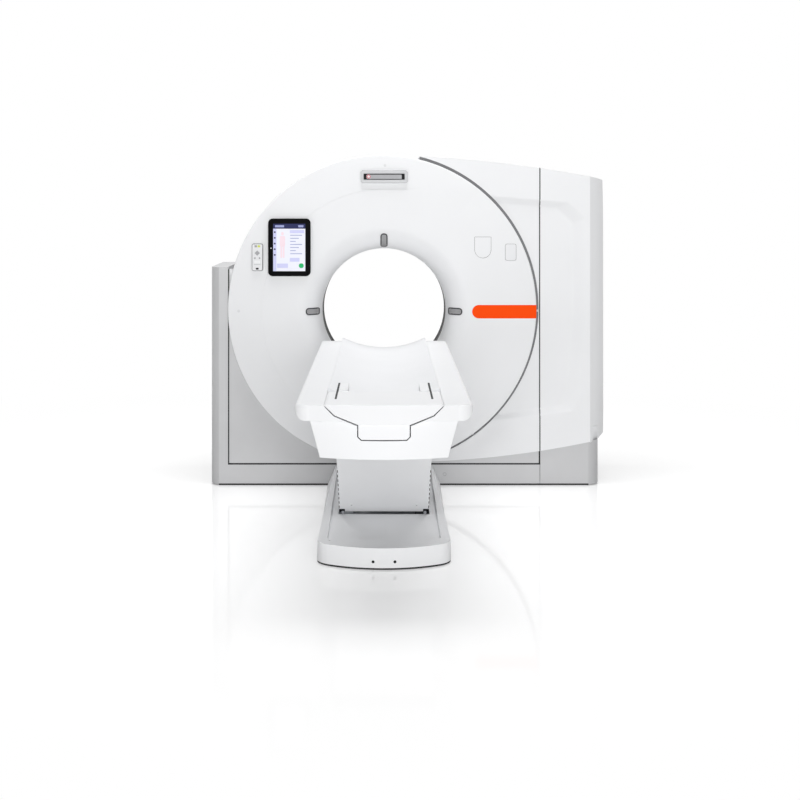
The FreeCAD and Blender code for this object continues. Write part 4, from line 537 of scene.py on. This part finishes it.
# %% Cutters for the recesses
WINDOWS = {"right": 0.0, "top": math.pi / 2, "left": math.pi}
WINDOW_INNER = 0.363
WINDOW_OUTER = 0.438
WINDOW_HALF = 0.0205
WINDOW_CUT = (FACE - 0.02, -0.14)
WINDOW_RADII = (0.010, 0.018, 0.018, 0.010)
LID_RECESS = 0.0015
low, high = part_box("accent_stripe")
recesses = {
    "stripe": ((low.x, RIM_R + 0.02, low.z, high.z), LID_RECESS, (0.0374, 0, 0, 0.0374), 12),
    "dock lid": (edges_of("dock_lid", 0.002), LID_RECESS, (0.0485, 0.0485, 0.004, 0.004), 12),
    "socket lid": (edges_of("socket_lid", 0.002), LID_RECESS, (0.012,) * 4, 6),
    "camera bar": (around(0.001, 1.734, 0.262, 0.072), 0.003, (0.010,) * 4, 6),
    "scoop under the bar": ((-0.124, 0.126, 1.661, 1.697), 0.0045, (0.006, 0.006, 0, 0), 3),
    "remote control": (around(-0.7065, 1.2842, 0.057, 0.147), 0.007, (0.008,) * 4, 6),
}
bm = bmesh.new()
for angle in WINDOWS.values():
    cut = slab(bm, (WINDOW_INNER, WINDOW_OUTER, AXIS_Z - WINDOW_HALF, AXIS_Z + WINDOW_HALF), WINDOW_CUT,
               WINDOW_RADII)
    turn_about_axis(bm, cut, angle)
for edges, depth, radii, steps in recesses.values():
    slab(bm, edges, (FACE - 0.01, FACE + depth), radii, steps)
outward(bm)
cutter = as_object("recess_cutters", bm)
print("recesses:", ", ".join(list(recesses) + ["window " + side for side in WINDOWS]))

# %% Wall thickness and recesses
give_wall(round_front, COVER_WALL)
cut = round_front.modifiers.new("recesses", "BOOLEAN")
cut.operation = "DIFFERENCE"
cut.solver = "EXACT"
cut.object = cutter
bpy.context.view_layer.update()
graph = bpy.context.evaluated_depsgraph_get()
finished = bpy.data.meshes.new_from_object(round_front.evaluated_get(graph))
round_front.modifiers.clear()
round_front.data = finished
shade_smooth(finished, COVER_CRISP)
cutter_mesh = cutter.data
bpy.data.objects.remove(cutter)
bpy.data.meshes.remove(cutter_mesh)
print("round cover with recesses:", len(finished.polygons), "faces")

# %% [markdown]
# The two lids lie almost flush with the cover, and what one sees of them is the fine dark gap all round.
# Light still finds its way into so shallow a gap, so a thin dark grey plate at the floor of each recess
# paints the gap's shade.

# %% Dark plates that paint the shade of the fine gaps round the lids
LID_GAP = 0.0018
finish("lid_grey", (0.700, 0.705, 0.720), 0.36, vary=0.015, grain=900)
# The grey of the gap plates is painted shade.
finish("gap_painted_shade", (0.160, 0.160, 0.168), 0.60, vary=0.080, grain=700)
rounded("socket_lid", 0.0003, slot="lid_grey")


def plate(name, edges, depth, slot, radii=(0, 0, 0, 0), steps=6, body="gantry", lay=None):
    """A slab as a piece of its own. lay moves it from where it was drawn to its place."""
    bm = bmesh.new()
    slab(bm, edges, depth, radii, steps)
    outward(bm)
    if lay:
        lay(bm)
    return put(name, bm, body, slot)


for node, radii in (("dock_lid", (0.048, 0.048, 0.004, 0.004)), ("socket_lid", (0.012,) * 4)):
    plate(node + "_gap", edges_of(node, LID_GAP), (FACE + 0.0009, FACE + 0.0014), "gap_painted_shade", radii, 10)
print("gaps round the lids:", round(LID_GAP * 1000, 1), "mm")

# %% [markdown]
# Behind each slot in the tunnel mouth sits a smoked window with a dark frame, from which a laser line shines
# on the patient. The window follows the curve of the mouth, so it is drawn flat, sliced across, and every
# vertex is then set back to the depth of the cover at its place.

# %% Laser windows that follow the mouth
WINDOW_PLAY = 0.0003
WINDOW_FRAME = 0.0065
PANE_SINK = 0.0018
WINDOW_SINK = 0.0008
window_length = WINDOW_OUTER - WINDOW_INNER
window_middle = Vector(((WINDOW_INNER + WINDOW_OUTER) / 2, 0, AXIS_Z))
window_edges = (WINDOW_INNER + WINDOW_PLAY, WINDOW_OUTER - WINDOW_PLAY,
                AXIS_Z - WINDOW_HALF + WINDOW_PLAY, AXIS_Z + WINDOW_HALF - WINDOW_PLAY)
for side, angle in WINDOWS.items():
    bm = bmesh.new()
    outline(bm, window_edges, 0.0, WINDOW_RADII)
    # The sheet faces backwards while it is cut, which decides how its bent faces split into triangles.
    bmesh.ops.reverse_faces(bm, faces=bm.faces)
    bmesh.ops.inset_region(bm, faces=bm.faces[:], thickness=WINDOW_FRAME, use_even_offset=True,
                           use_boundary=True)
    pane = min(bm.faces, key=lambda face: (face.calc_center_median() - window_middle).length)
    pane.material_index = 1
    grown = bmesh.ops.extrude_face_region(bm, geom=[pane])
    bmesh.ops.translate(bm, verts=new_verts(grown), vec=(0, PANE_SINK, 0))
    for i in range(1, 12):
        slice_across(bm, (WINDOW_INNER + window_length * i / 12, 0, 0), (1, 0, 0))
    for z in (-0.012, -0.006, 0.0, 0.006, 0.012):
        slice_across(bm, (0, 0, AXIS_Z + z), (0, 0, 1))
    for vert in bm.verts:
        vert.co.y += face_depth(vert.co.x, vert.co.z) + WINDOW_SINK
    outward(bm, FRONT)
    turn_about_axis(bm, bm.faces[:], angle)
    window = put("laser_window_" + side + "_pane", bm, "gantry", "window_frame", ("window_plastic",), 40,
                 ("laser_window_" + side,))
    give_wall(window, 0.003)
print("laser windows:", len(WINDOWS), "each", round(window_length * 1000), "mm long")

# %% [markdown]
# The tunnel liner is a thin dark ring with a shallow band round its middle, where the beam passes. The rear
# cover is a deep tub with a tapered tunnel mouth; its right side is cut off where the service bay starts.
# Both start from a Spin. The tub's loop is then extruded out to circles round the rim's own centre, step by
# step.

# %% Tunnel liner
BAND_R = BORE_R + 0.0012
LINER_BACK_R = BORE_R + 0.003
bm = bmesh.new()
points = [(BORE_R, -TUNNEL), (BORE_R, -0.032), (BAND_R, -0.029), (BAND_R, 0.029), (BORE_R, 0.032),
          (BORE_R, TUNNEL), (LINER_BACK_R, TUNNEL), (LINER_BACK_R, -TUNNEL)]
turned(bm, [(r, y, AXIS_Z) for r, y in points], AXIS, 200, closed=True)
outward(bm)
put("tunnel_liner", bm, "gantry", "dark_plastic", stands_for=("bore_liner",))
print("liner", round(2000 * BORE_R), "mm across and", round(2000 * TUNNEL), "mm long")

# %% Rear cover
low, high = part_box("rear_cover")
back = high.y
tub_r = RIM_R - 0.0065
bm = bmesh.new()
points = [(BORE_R, TUNNEL), (0.4625, back - 0.0175), (0.468, back - 0.005), (0.476, back)]
turned(bm, [(r, y, AXIS_Z) for r, y in points], AXIS, 180)
loop = ring_edges(bm, lambda co: co.y > back - 0.0005)
for radius, y in ((tub_r - 0.010, back), (tub_r - 0.003, back - 0.003), (tub_r, back - 0.010),
                  (tub_r, RIM_BACK - 0.004)):
    grown = bmesh.ops.extrude_edge_only(bm, edges=loop)
    for vert in new_verts(grown):
        to_rim(vert, radius)
        vert.co.y = y
    loop = [part for part in grown["geom"] if isinstance(part, bmesh.types.BMEdge) and part.is_boundary]
slice_across(bm, (high.x, 0, 0), (1, 0, 0), clear_outer=True)
outward(bm, Vector((0, 1, 0)))
rear = put("rear_cover_shell", bm, "gantry", "white_plastic", crisp=COVER_CRISP,
           stands_for=("rear_cover",))
give_wall(rear, COVER_WALL)
print("rear cover's back plane", round(back, 3))

# %% [markdown]
# The camera bar near the top holds a slim dark slot with a ringed lens at its left. The lens is a small
# profile spun about its own axis: a silver rim, a red ring and a glass dome.

# %% Lens of the camera
SLOT_Z = 1.7335
finish("slot_metal", (0.250, 0.252, 0.262), 0.42, vary=0.050, grain=1400, metallic=0.2)
finish("lens_ring", (0.420, 0.012, 0.045), 0.45, vary=0.05, grain=1600, coat=0.5)
finish("lens_glass", (0.700, 0.600, 0.620), 0.10, vary=0.10, bump=0.01, coat=1.0)


def turned_button(name, x, z, y, points, slots, steps=48, bands=()):
    """A small round piece on the front, from (radius, height) points; each band takes the next finish."""
    bm = bmesh.new()
    turned(bm, [(x + r, y - h, z) for r, h in points], (x, 0, z), steps)
    for face in bm.faces:
        reach = math.hypot(face.calc_center_median().x - x, face.calc_center_median().z - z)
        face.material_index = sum(1 for band in bands if reach < band)
    outward(bm, FRONT)
    put(name, bm, "gantry", slots[0], slots[1:], crisp=40)


low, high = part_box("camera_window")
turned_button("camera_lens", -0.086, 1.7345, low.y + 0.0002,
              [(0.0001, 0.0022), (0.0055, 0.0020), (0.0070, 0.0012), (0.0074, 0.0026), (0.0116, 0.0028),
               (0.0118, 0.0018), (0.0128, 0.0016), (0.0134, 0.0)],
              ("silver_plastic", "lens_ring", "lens_glass"), bands=(0.0117, 0.0072))
for i, x in enumerate((-0.107, 0.109)):
    plate("camera_slot_end_%d" % (i + 1), around(x, SLOT_Z, 0.010, 0.031), (low.y - 0.0006, low.y + 0.0003),
          "dark_plastic", (0.002,) * 4, 3)
plate("camera_slot_plate", around(0.001, SLOT_Z, 0.196, 0.024), (low.y - 0.0004, low.y + 0.0003),
      "slot_metal", (0.004,) * 4, 4)
print("camera slot on the window at", round(low.y, 4))

# %% [markdown]
# The tablet is a black rounded slab with a lit screen. Its corners are rounded in the outline, and a Bevel
# along the front edges gives it the soft rim that one feels when holding it.

# %% Body of the tablet
TABLET_CORNER = 0.026
TABLET_RIM = 0.0035
low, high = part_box("tablet")
bm = bmesh.new()
slab(bm, edges_of("tablet"), (low.y, high.y), (TABLET_CORNER,) * 4, 8)
outward(bm)
bm.normal_update()
front_edges = [edge for edge in bm.edges if all(abs(v.co.y - low.y) < 1e-5 for v in edge.verts)]
bmesh.ops.bevel(bm, geom=front_edges, offset=TABLET_RIM, segments=3, profile=0.5, affect="EDGES", material=-1)
put("tablet_body", bm, "gantry", "tablet_black", stands_for=("tablet",))
print("tablet", round((high.x - low.x) * 1000), "by", round((high.z - low.z) * 1000), "mm")

# %% [markdown]
# The screen shows a plain patient form: a dark header, a pale list on the right, a pale figure on the left
# and a round green button. A picture could be mapped onto it, but flat tiles laid a fraction of a millimetre
# over each other stay sharp from any distance, and plain bars do for the rows of the list.

# %% Screen and its tiles
for name, colour, vary, glow in (("screen_white", (0.78, 0.79, 0.87), 0.01, 0.10),
                                 ("screen_navy", (0.022, 0.026, 0.090), 0.05, 0.10),
                                 ("screen_lilac", (0.560, 0.570, 0.800), 0.02, 0.12),
                                 ("screen_rose", (0.800, 0.660, 0.720), 0.03, 0.12),
                                 ("screen_line", (0.300, 0.330, 0.560), 0.05, 0.10),
                                 ("screen_green", (0.020, 0.400, 0.130), 0.05, 0.15)):
    finish(name, colour, 0.45, specular=0.1, vary=vary, bump=0.01, glow=glow)
screen_low, screen_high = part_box("tablet_screen")
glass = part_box("tablet")[0].y
tiles = []


def tile(u0, u1, v0, v1, slot, lift=1, radius=0.0, steps=4):
    """A tile on the screen, placed by shares of its width and height from the top left."""
    width, height = screen_high.x - screen_low.x, screen_high.z - screen_low.z
    edges = (screen_low.x + u0 * width, screen_low.x + u1 * width,
             screen_high.z - v1 * height, screen_high.z - v0 * height)
    name = "screen_tile_%02d" % (len(tiles) + 1)
    tiles.append(plate(name, edges, (glass - 0.00012 * lift, glass + 0.0001), slot, (radius,) * 4, steps))
    return tiles[-1]


screen = tile(0.0, 1.0, 0.0, 1.0, "screen_white", 1, 0.002)
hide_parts("tablet_screen")
tile(0.0, 1.0, 0.0, 0.105, "screen_navy", 2)
tile(0.0, 0.10, 0.105, 1.0, "screen_lilac", 2)
tile(0.12, 0.46, 0.135, 0.80, "screen_white", 3, 0.003)
tile(0.06, 0.34, 0.030, 0.075, "screen_line", 3, 0.002)
tile(0.78, 0.94, 0.030, 0.075, "screen_line", 3, 0.002)
tile(0.52, 0.96, 0.135, 0.200, "screen_lilac", 3, 0.002)
for i in range(7):
    tile(0.53, 0.90 - 0.10 * (i % 3), 0.235 + 0.065 * i, 0.250 + 0.065 * i, "screen_line", 3)
tile(0.52, 0.82, 0.72, 0.80, "screen_lilac", 3, 0.002)
tile(0.25, 0.33, 0.175, 0.245, "screen_rose", 4, 0.006)
tile(0.205, 0.375, 0.255, 0.480, "screen_rose", 4, 0.008)
tile(0.225, 0.282, 0.470, 0.720, "screen_rose", 4, 0.004)
tile(0.298, 0.355, 0.470, 0.720, "screen_rose", 4, 0.004)
for i in range(5):
    tile(0.025, 0.075, 0.16 + 0.12 * i, 0.195 + 0.12 * i, "screen_navy", 3, 0.002)
tile(0.12, 0.46, 0.84, 0.93, "screen_lilac", 3, 0.002)
tile(0.80, 0.95, 0.835, 0.935, "screen_green", 4, 0.0125, 8)
turned_button("tablet_status_light", screen_low.x - 0.012, (screen_low.z + screen_high.z) / 2 - 0.004, glass,
              [(0.0001, 0.0006), (0.0028, 0.0005), (0.0034, 0.0)], ("white_plastic",), steps=24)
print("tiles on the screen:", len(tiles))

# %% [markdown]
# The remote control hangs in its own shallow recess: a light housing with rounded edges, five keys that
# press, a grey strip under them that paints the shade of a groove, and a dark contact notch at its foot. The
# body is cut out under each key, as in the CAD model, so that the keys can sink in.

# %% Body of the remote control
low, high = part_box("remote_control")
mid = (low + high) / 2


def remote_rim(edge):
    """The front edges round the outside of the remote control, not those of its key pockets."""
    at = (edge.verts[0].co + edge.verts[1].co) / 2 - mid
    front = all(v.co.y < low.y + 0.0001 for v in edge.verts)
    return front and (abs(at.x) > 0.020 or abs(at.z) > 0.0705)


rounded("remote_control", 0.0, slot="lid_grey", soften=((remote_rim, 0.0022, 3),))
rounded("key_power", 0.0004, slot="key_grey")
rounded("key_light", 0.0004, slot="key_green")
# A dark grey ring just proud of the face round the remote control paints the shadow of the gap round it.
plate("remote_painted_shadow_ring", around(mid.x, mid.z, 0.063, 0.153), (FACE - 0.0004, FACE + 0.001), "gap_painted_shade",
      (0.011,) * 4)
# The groove is a flat grey strip, which paints a groove's shade.
for name, width, height, drop, slot in (("remote_groove_painted_shade", 0.038, 0.0016, 0.112, "grey_plastic"),
                                        ("remote_notch", 0.016, 0.010, 0.136, "dark_plastic"),
                                        ("remote_label_field", 0.034, 0.016, 0.098, "white_plastic")):
    plate(name, around(mid.x, high.z - drop, width, height), (low.y - 0.0003, low.y + 0.001), slot,
          (min(width, height) * 0.3,) * 4, 3)
print("remote control", round((high.x - low.x) * 1000), "by", round((high.z - low.z) * 1000), "mm")

# %% [markdown]
# Small round caps close the screws that hold the round cover, a thin ring marks the plinth, and two screws
# hold the foot. They are turned profiles a few millimetres high at most, each set on the surface at its
# place.

# %% Latch caps, the ring on the plinth and the foot's screws
cap_profile = [(0.0001, 0.0008), (0.006, 0.0008), (0.0075, 0.0002), (0.0085, 0.0)]
seam_cap_profile = [(0.0001, 0.006), (0.006, 0.006), (0.0068, 0.005), (0.0072, 0.0)]
ring_profile = [(0.0078, 0.0), (0.0080, 0.0010), (0.0098, 0.0010), (0.0100, 0.0)]
screw_profile = [(0.0001, 0.0012), (0.0062, 0.0012), (0.0066, 0.0)]
for i, (x, z) in enumerate(((-0.811, 0.984), (0.006, 1.797))):
    turned_button("latch_cap_%d" % (i + 1), x, z, face_depth(x, z), cap_profile, ("lid_grey",), steps=32)
turned_button("latch_cap_3", 0.864, 0.982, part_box("gap_strip")[0].y, seam_cap_profile, ("silver_plastic",),
              steps=32)
turned_button("plinth_ring", 0.341, 0.062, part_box("stand_cover_left")[0].y, ring_profile, ("grey_plastic",),
              steps=40)
for i, x in enumerate((-0.0475, 0.0475)):
    foot_front = FOOT_ARC_Y - math.sqrt(FOOT_ARC_R ** 2 - x ** 2)
    turned_button("foot_screw_%d" % (i + 1), x, 0.035, foot_front + 0.0002, screw_profile, ("dark_plastic",),
                  steps=24)
print("caps, ring and screws: 6; the foot's front at", round(foot_front, 3))

# %% [markdown]
# The gaps between covers look almost black, because nothing lights the space behind them. A slim black plate
# in each gap paints that shade as a line; one more, along the foot of the stand, paints the dark line of
# shadow there.

# %% Dark plates that paint the shade in the gaps, as x0, x1, z0, z1 and the depth of the front
SEAM_SHADE_PLATES = {
    "seam_field": (0.8742, 0.8778, 0.420, 1.590, -0.1897),
    "seam_upper": (0.8742, 0.8778, 1.590, 1.7855, -0.2036),
    "seam_lower": (0.8742, 0.8778, 0.192, 0.420, -0.2036),
    "seam_left": (-0.8775, -0.8705, 0.1155, 1.216, -0.1974),
    "seam_low": (-0.8775, 0.8790, 0.1155, 0.1245, -0.1974),
    "seam_corner": (0.8705, 0.8790, 0.1155, 0.195, -0.1974),
    "stand_foot_painted_shadow": (-0.9290, 1.1500, 0.0004, 0.0095, -0.1976),
}
SHADE_PLATE_THICK = 0.0012
# Each plate paints the shade in its gap as a black line.
for name, (x0, x1, z0, z1, y) in SEAM_SHADE_PLATES.items():
    plate(name, (x0, x1, z0, z1), (y, y + SHADE_PLATE_THICK), "seal_rubber")
print("seals in the gaps:", len(SEAM_SHADE_PLATES))

# %% [markdown]
# The vertical seam of the side cover runs down its upper face, through the field and out again. A black lip
# follows that line and paints the seam's shade. A line of vertices is extruded sideways into a ribbon, and
# the ribbon back into a strip.

# %% Black lip that paints the shade along the side cover's seam, as height and depth from the foot up
SEAM_LEFT = 0.8728
SEAM_WIDTH = 0.0064
SEAM_PROUD = 0.0003
SEAM_LINE = ((0.1955, SIDE_FACE), (0.388, SIDE_FACE), (0.403, -0.2019), (0.422, -0.1941), (0.429, -0.1919),
             (0.437, FIELD_FACE), (1.563, FIELD_FACE), (1.571, -0.192), (1.578, -0.1943), (1.594, -0.2017),
             (1.609, SIDE_FACE), (1.782, SIDE_FACE))
bm = bmesh.new()
lip = chain(bm, [(SEAM_LEFT, y - SEAM_PROUD, z) for z, y in SEAM_LINE])[1]
ribbon = bmesh.ops.extrude_edge_only(bm, edges=lip)
bmesh.ops.translate(bm, verts=new_verts(ribbon), vec=(SEAM_WIDTH, 0, 0))
strip = bmesh.ops.extrude_face_region(bm, geom=bm.faces[:])
bmesh.ops.translate(bm, verts=new_verts(strip), vec=(0, SHADE_PLATE_THICK, 0))
outward(bm)
put("seam_painted_shade_lip", bm, "gantry", "seal_rubber")
print("seam lip from", SEAM_LINE[0][0], "to", SEAM_LINE[-1][0])

# %% [markdown]
# Low on the right, where the side cover turns the corner above the stand, a curved filler closes the space
# behind its edge. It follows the same two arcs as the cover: one seen from above, one along the lower edge.

# %% Filler at the side cover's lower corner
FILLER_STEPS = 12
FILLER_LEFT = 1.160
FILLER_WIDTH = 0.062
FILLER_TOP = 0.336
BEHIND_COVER = 0.0008
BELOW_COVER = 0.005


def arc_through(a, b, c):
    """Centre and radius of the circle through three points."""
    (ax, ay), (bx, by), (cx, cy) = a, b, c
    turn = 2 * (ax * (by - cy) + bx * (cy - ay) + cx * (ay - by))
    aa, bb, cc = ax * ax + ay * ay, bx * bx + by * by, cx * cx + cy * cy
    ux = (aa * (by - cy) + bb * (cy - ay) + cc * (ay - by)) / turn
    uy = (aa * (cx - bx) + bb * (ax - cx) + cc * (bx - ax)) / turn
    return ux, uy, math.hypot(ax - ux, ay - uy)


px, py, pr = arc_through((1.158, SIDE_FACE), (1.232, -0.098), (1.273, 0.060))
lx, lz, lr = arc_through((0.200, 0.133), (0.760, 0.177), (1.262, 0.268))
points = []
for i in range(FILLER_STEPS + 1):
    x = FILLER_LEFT + FILLER_WIDTH * i / FILLER_STEPS
    y = py - math.sqrt(pr ** 2 - (x - px) ** 2) + BEHIND_COVER
    z = lz - math.sqrt(lr ** 2 - (x - lx) ** 2) - BELOW_COVER
    points.append((x, y, z))
bm = bmesh.new()
lower_edge = chain(bm, points)[1]
for vert in new_verts(bmesh.ops.extrude_edge_only(bm, edges=lower_edge)):
    vert.co.z = FILLER_TOP
outward(bm, FRONT)
filler = put("corner_filler", bm, "gantry", "white_plastic")
give_wall(filler, 0.002)
print("corner filler from", [round(c, 3) for c in points[0]], "to", [round(c, 3) for c in points[-1]])

# %% [markdown]
# On the table, two dark slits beside the horns take the straps that hold the patient. They are slim dark
# plates let into the surface at the height of the cradle's edge, which paint the shade inside the slits.

# %% Slits beside the horns
CAP_TOP = 0.827
SLIT_X = 0.191
SLIT_HALF = 0.004
for side, word in ((-1, "left"), (1, "right")):
    edges = (side * SLIT_X - SLIT_HALF, side * SLIT_X + SLIT_HALF, CAP_TOP - 0.003, CAP_TOP + 0.0006)
    # The dark plate paints the shade inside the slit.
    plate("strap_slit_painted_shade_" + word, edges, (-2.437, -1.986), "dark_plastic", body="cradle")
print("strap slits at", SLIT_X, "on either side")

# %% [markdown]
# The lift arm's cover is a plain light panel with two small screws near its foot, black guide blocks beside
# its lower corners and, along each edge, a row of dark plates that paint the shade of slots. All of these
# lean with the arm, so they are drawn upright about the pivot and then turned by the arm's angle.

# %% Screws, blocks and slots on the arm cover
PIVOT = Vector((0, -1.175, 0.128))
ARM_LENGTH = 0.795
TABLE_PIVOT_Z = 0.639
ARM_ANGLE = math.asin((TABLE_PIVOT_Z - PIVOT.z) / ARM_LENGTH)
EDGE_SLOTS = 9
SLOT_STEP = 0.044
SLOT_X = 0.2162
SLOT_HALF = 0.0016


def on_arm(bm):
    """From a panel drawn facing the front, with z along the arm from its pivot, to its place on the arm."""
    lean = Matrix.Rotation(math.pi / 2 - ARM_ANGLE, 4, "X")
    bmesh.ops.transform(bm, matrix=Matrix.Translation(PIVOT) @ lean, verts=bm.verts)


for side, word in ((-1, "left"), (1, "right")):
    plate("guide_block_" + word, around(side * 0.2035, 0.0075, 0.026, 0.034), (-0.044, -0.024),
          "dark_plastic", (0.003,) * 4, 3, "front_arm", on_arm)
    bm = bmesh.new()
    turned(bm, [(0.0001, -0.0462, 0), (0.0030, -0.0462, 0), (0.0042, -0.0450, 0)], (0, 0, 0), 24)
    bmesh.ops.translate(bm, verts=bm.verts, vec=(side * 0.157, 0, 0.060))
    outward(bm, FRONT)
    on_arm(bm)
    put("arm_screw_" + word, bm, "front_arm", "bearing_steel")
    # Each dark plate paints the shade of a slot.
    for i in range(EDGE_SLOTS):
        edges = (side * SLOT_X - SLOT_HALF, side * SLOT_X + SLOT_HALF,
                 0.034 + SLOT_STEP * i, 0.056 + SLOT_STEP * i)
        plate("edge_slot_painted_shade_%s_%d" % (word, i + 1), edges, (-0.0456, -0.0440), "dark_plastic", body="front_arm",
              lay=on_arm)
print("slots along each edge:", EDGE_SLOTS, "on an arm at", round(math.degrees(ARM_ANGLE), 1), "degrees")

# %% [markdown]
# The floor and backdrop are one plain pale sheet. To the camera it is white, through Light Path, but the
# lamps still draw the object's soft shadow on it. A thin gloss gives the faint mirror image under the
# machine. Away from the machine the sheet turns into an even glow, so that no edge or horizon shows.

# %% Floor
FLOOR_HALF = 30
FLOOR_Z = -0.0005
FLOOR_GLOW = 0.25
FADE_FROM = 1.7
FADE_TO = 4.2
bm = bmesh.new()
corners = ((-1, -1), (1, -1), (1, 1), (-1, 1))
bm.faces.new([bm.verts.new((x * FLOOR_HALF, y * FLOOR_HALF, FLOOR_Z)) for x, y in corners])
floor = as_object("studio_floor", bm)
material = bpy.data.materials.new("floor_paint")
material.use_nodes = True
tree = material.node_tree
shader = tree.nodes["Principled BSDF"]
shader.inputs["Base Color"].default_value = (0.84, 0.84, 0.84, 1)
shader.inputs["Roughness"].default_value = 0.07
path = tree.nodes.new("ShaderNodeLightPath")
coords = tree.nodes.new("ShaderNodeTexCoord").outputs["Object"]
reach = tree.nodes.new("ShaderNodeVectorMath")
reach.operation = "LENGTH"
tree.links.new(coords, reach.inputs[0])
fade = tree.nodes.new("ShaderNodeMapRange")
fade.interpolation_type = "SMOOTHSTEP"
fade.inputs["From Min"].default_value = FADE_FROM
fade.inputs["From Max"].default_value = FADE_TO
tree.links.new(reach.outputs["Value"], fade.inputs["Value"])
lift = tree.nodes.new("ShaderNodeMath")
lift.operation = "MULTIPLY"
lift.inputs[1].default_value = FLOOR_GLOW
tree.links.new(path.outputs["Is Camera Ray"], lift.inputs[0])
glow = tree.nodes.new("ShaderNodeEmission")
tree.links.new(lift.outputs[0], glow.inputs["Strength"])
near = tree.nodes.new("ShaderNodeAddShader")
tree.links.new(shader.outputs[0], near.inputs[0])
tree.links.new(glow.outputs[0], near.inputs[1])
far = tree.nodes.new("ShaderNodeEmission")
blend = tree.nodes.new("ShaderNodeMixShader")
tree.links.new(fade.outputs[0], blend.inputs["Fac"])
tree.links.new(near.outputs[0], blend.inputs[1])
tree.links.new(far.outputs[0], blend.inputs[2])
tree.links.new(blend.outputs[0], tree.nodes["Material Output"].inputs["Surface"])
floor.data.materials.append(material)
print("floor", 2 * FLOOR_HALF, "m wide, fading between", FADE_FROM, "and", FADE_TO, "m")

# %% [markdown]
# The sky is white where the camera or a mirror image sees it, but lights the machine only a little. A Light
# Path node tells the two apart, so the covers keep their shading while the picture's edges stay white.

# %% Sky
SKY_LIGHT = 0.20
world = bpy.data.worlds.new("studio")
bpy.context.scene.world = world
world.use_nodes = True
tree = world.node_tree
backdrop = tree.nodes["Background"]
backdrop.inputs["Color"].default_value = (1, 1, 1, 1)
path = tree.nodes.new("ShaderNodeLightPath")
seen = tree.nodes.new("ShaderNodeMath")
seen.operation = "MAXIMUM"
tree.links.new(path.outputs["Is Camera Ray"], seen.inputs[0])
tree.links.new(path.outputs["Is Glossy Ray"], seen.inputs[1])
strength = tree.nodes.new("ShaderNodeMapRange")
strength.inputs["To Min"].default_value = SKY_LIGHT
strength.inputs["To Max"].default_value = 1.0
tree.links.new(seen.outputs[0], strength.inputs["Value"])
tree.links.new(strength.outputs[0], backdrop.inputs["Strength"])
print("share of the sky's light on the machine:", SKY_LIGHT)

# %% [markdown]
# A product studio lights white covers with large soft lamps. A big one behind the camera lights the face, one
# overhead draws the short shadow on the floor, and a weak one low down lifts the foot. The camera looks level
# from a standing eye's height, and its lens is shifted down, which keeps the upright edges upright.

# %% Lamps and camera
def softbox(name, place, aim, size, power):
    """A rectangular lamp at a place, turned towards its aim."""
    lamp = bpy.data.lights.new(name, "AREA")
    lamp.shape = "RECTANGLE"
    lamp.size, lamp.size_y = size
    lamp.energy = power
    box = bpy.data.objects.new(name, lamp)
    box.location = place
    box.rotation_euler = (Vector(aim) - Vector(place)).to_track_quat("-Z", "Y").to_euler()
    bpy.context.scene.collection.objects.link(box)


softbox("front_softbox", (0.9, -15.0, 2.2), (0, -0.8, 0.8), (6.9, 4.0), 835)
softbox("overhead_softbox", (0.0, -1.0, 7.5), (0, -1.0, 0.5), (6.0, 4.0), 430)
softbox("low_softbox", (0.0, -5.2, 0.5), (0, -1.9, 0.1), (3.0, 0.8), 6)
camera_data = bpy.data.cameras.new("camera")
camera_data.lens = 60
camera_data.sensor_width = 36
camera_data.shift_x = 0.02
camera_data.shift_y = -0.25625
camera_data.clip_end = 100
camera = bpy.data.objects.new("camera", camera_data)
camera.location = (0, -7.697, 1.632)
camera.rotation_euler = (math.pi / 2, 0, 0)
bpy.context.scene.collection.objects.link(camera)
bpy.context.scene.camera = camera
bpy.context.scene.view_settings.view_transform = "Standard"
print("camera", round(-camera.location.y, 2), "m in front of the scan plane, lens", camera_data.lens, "mm")
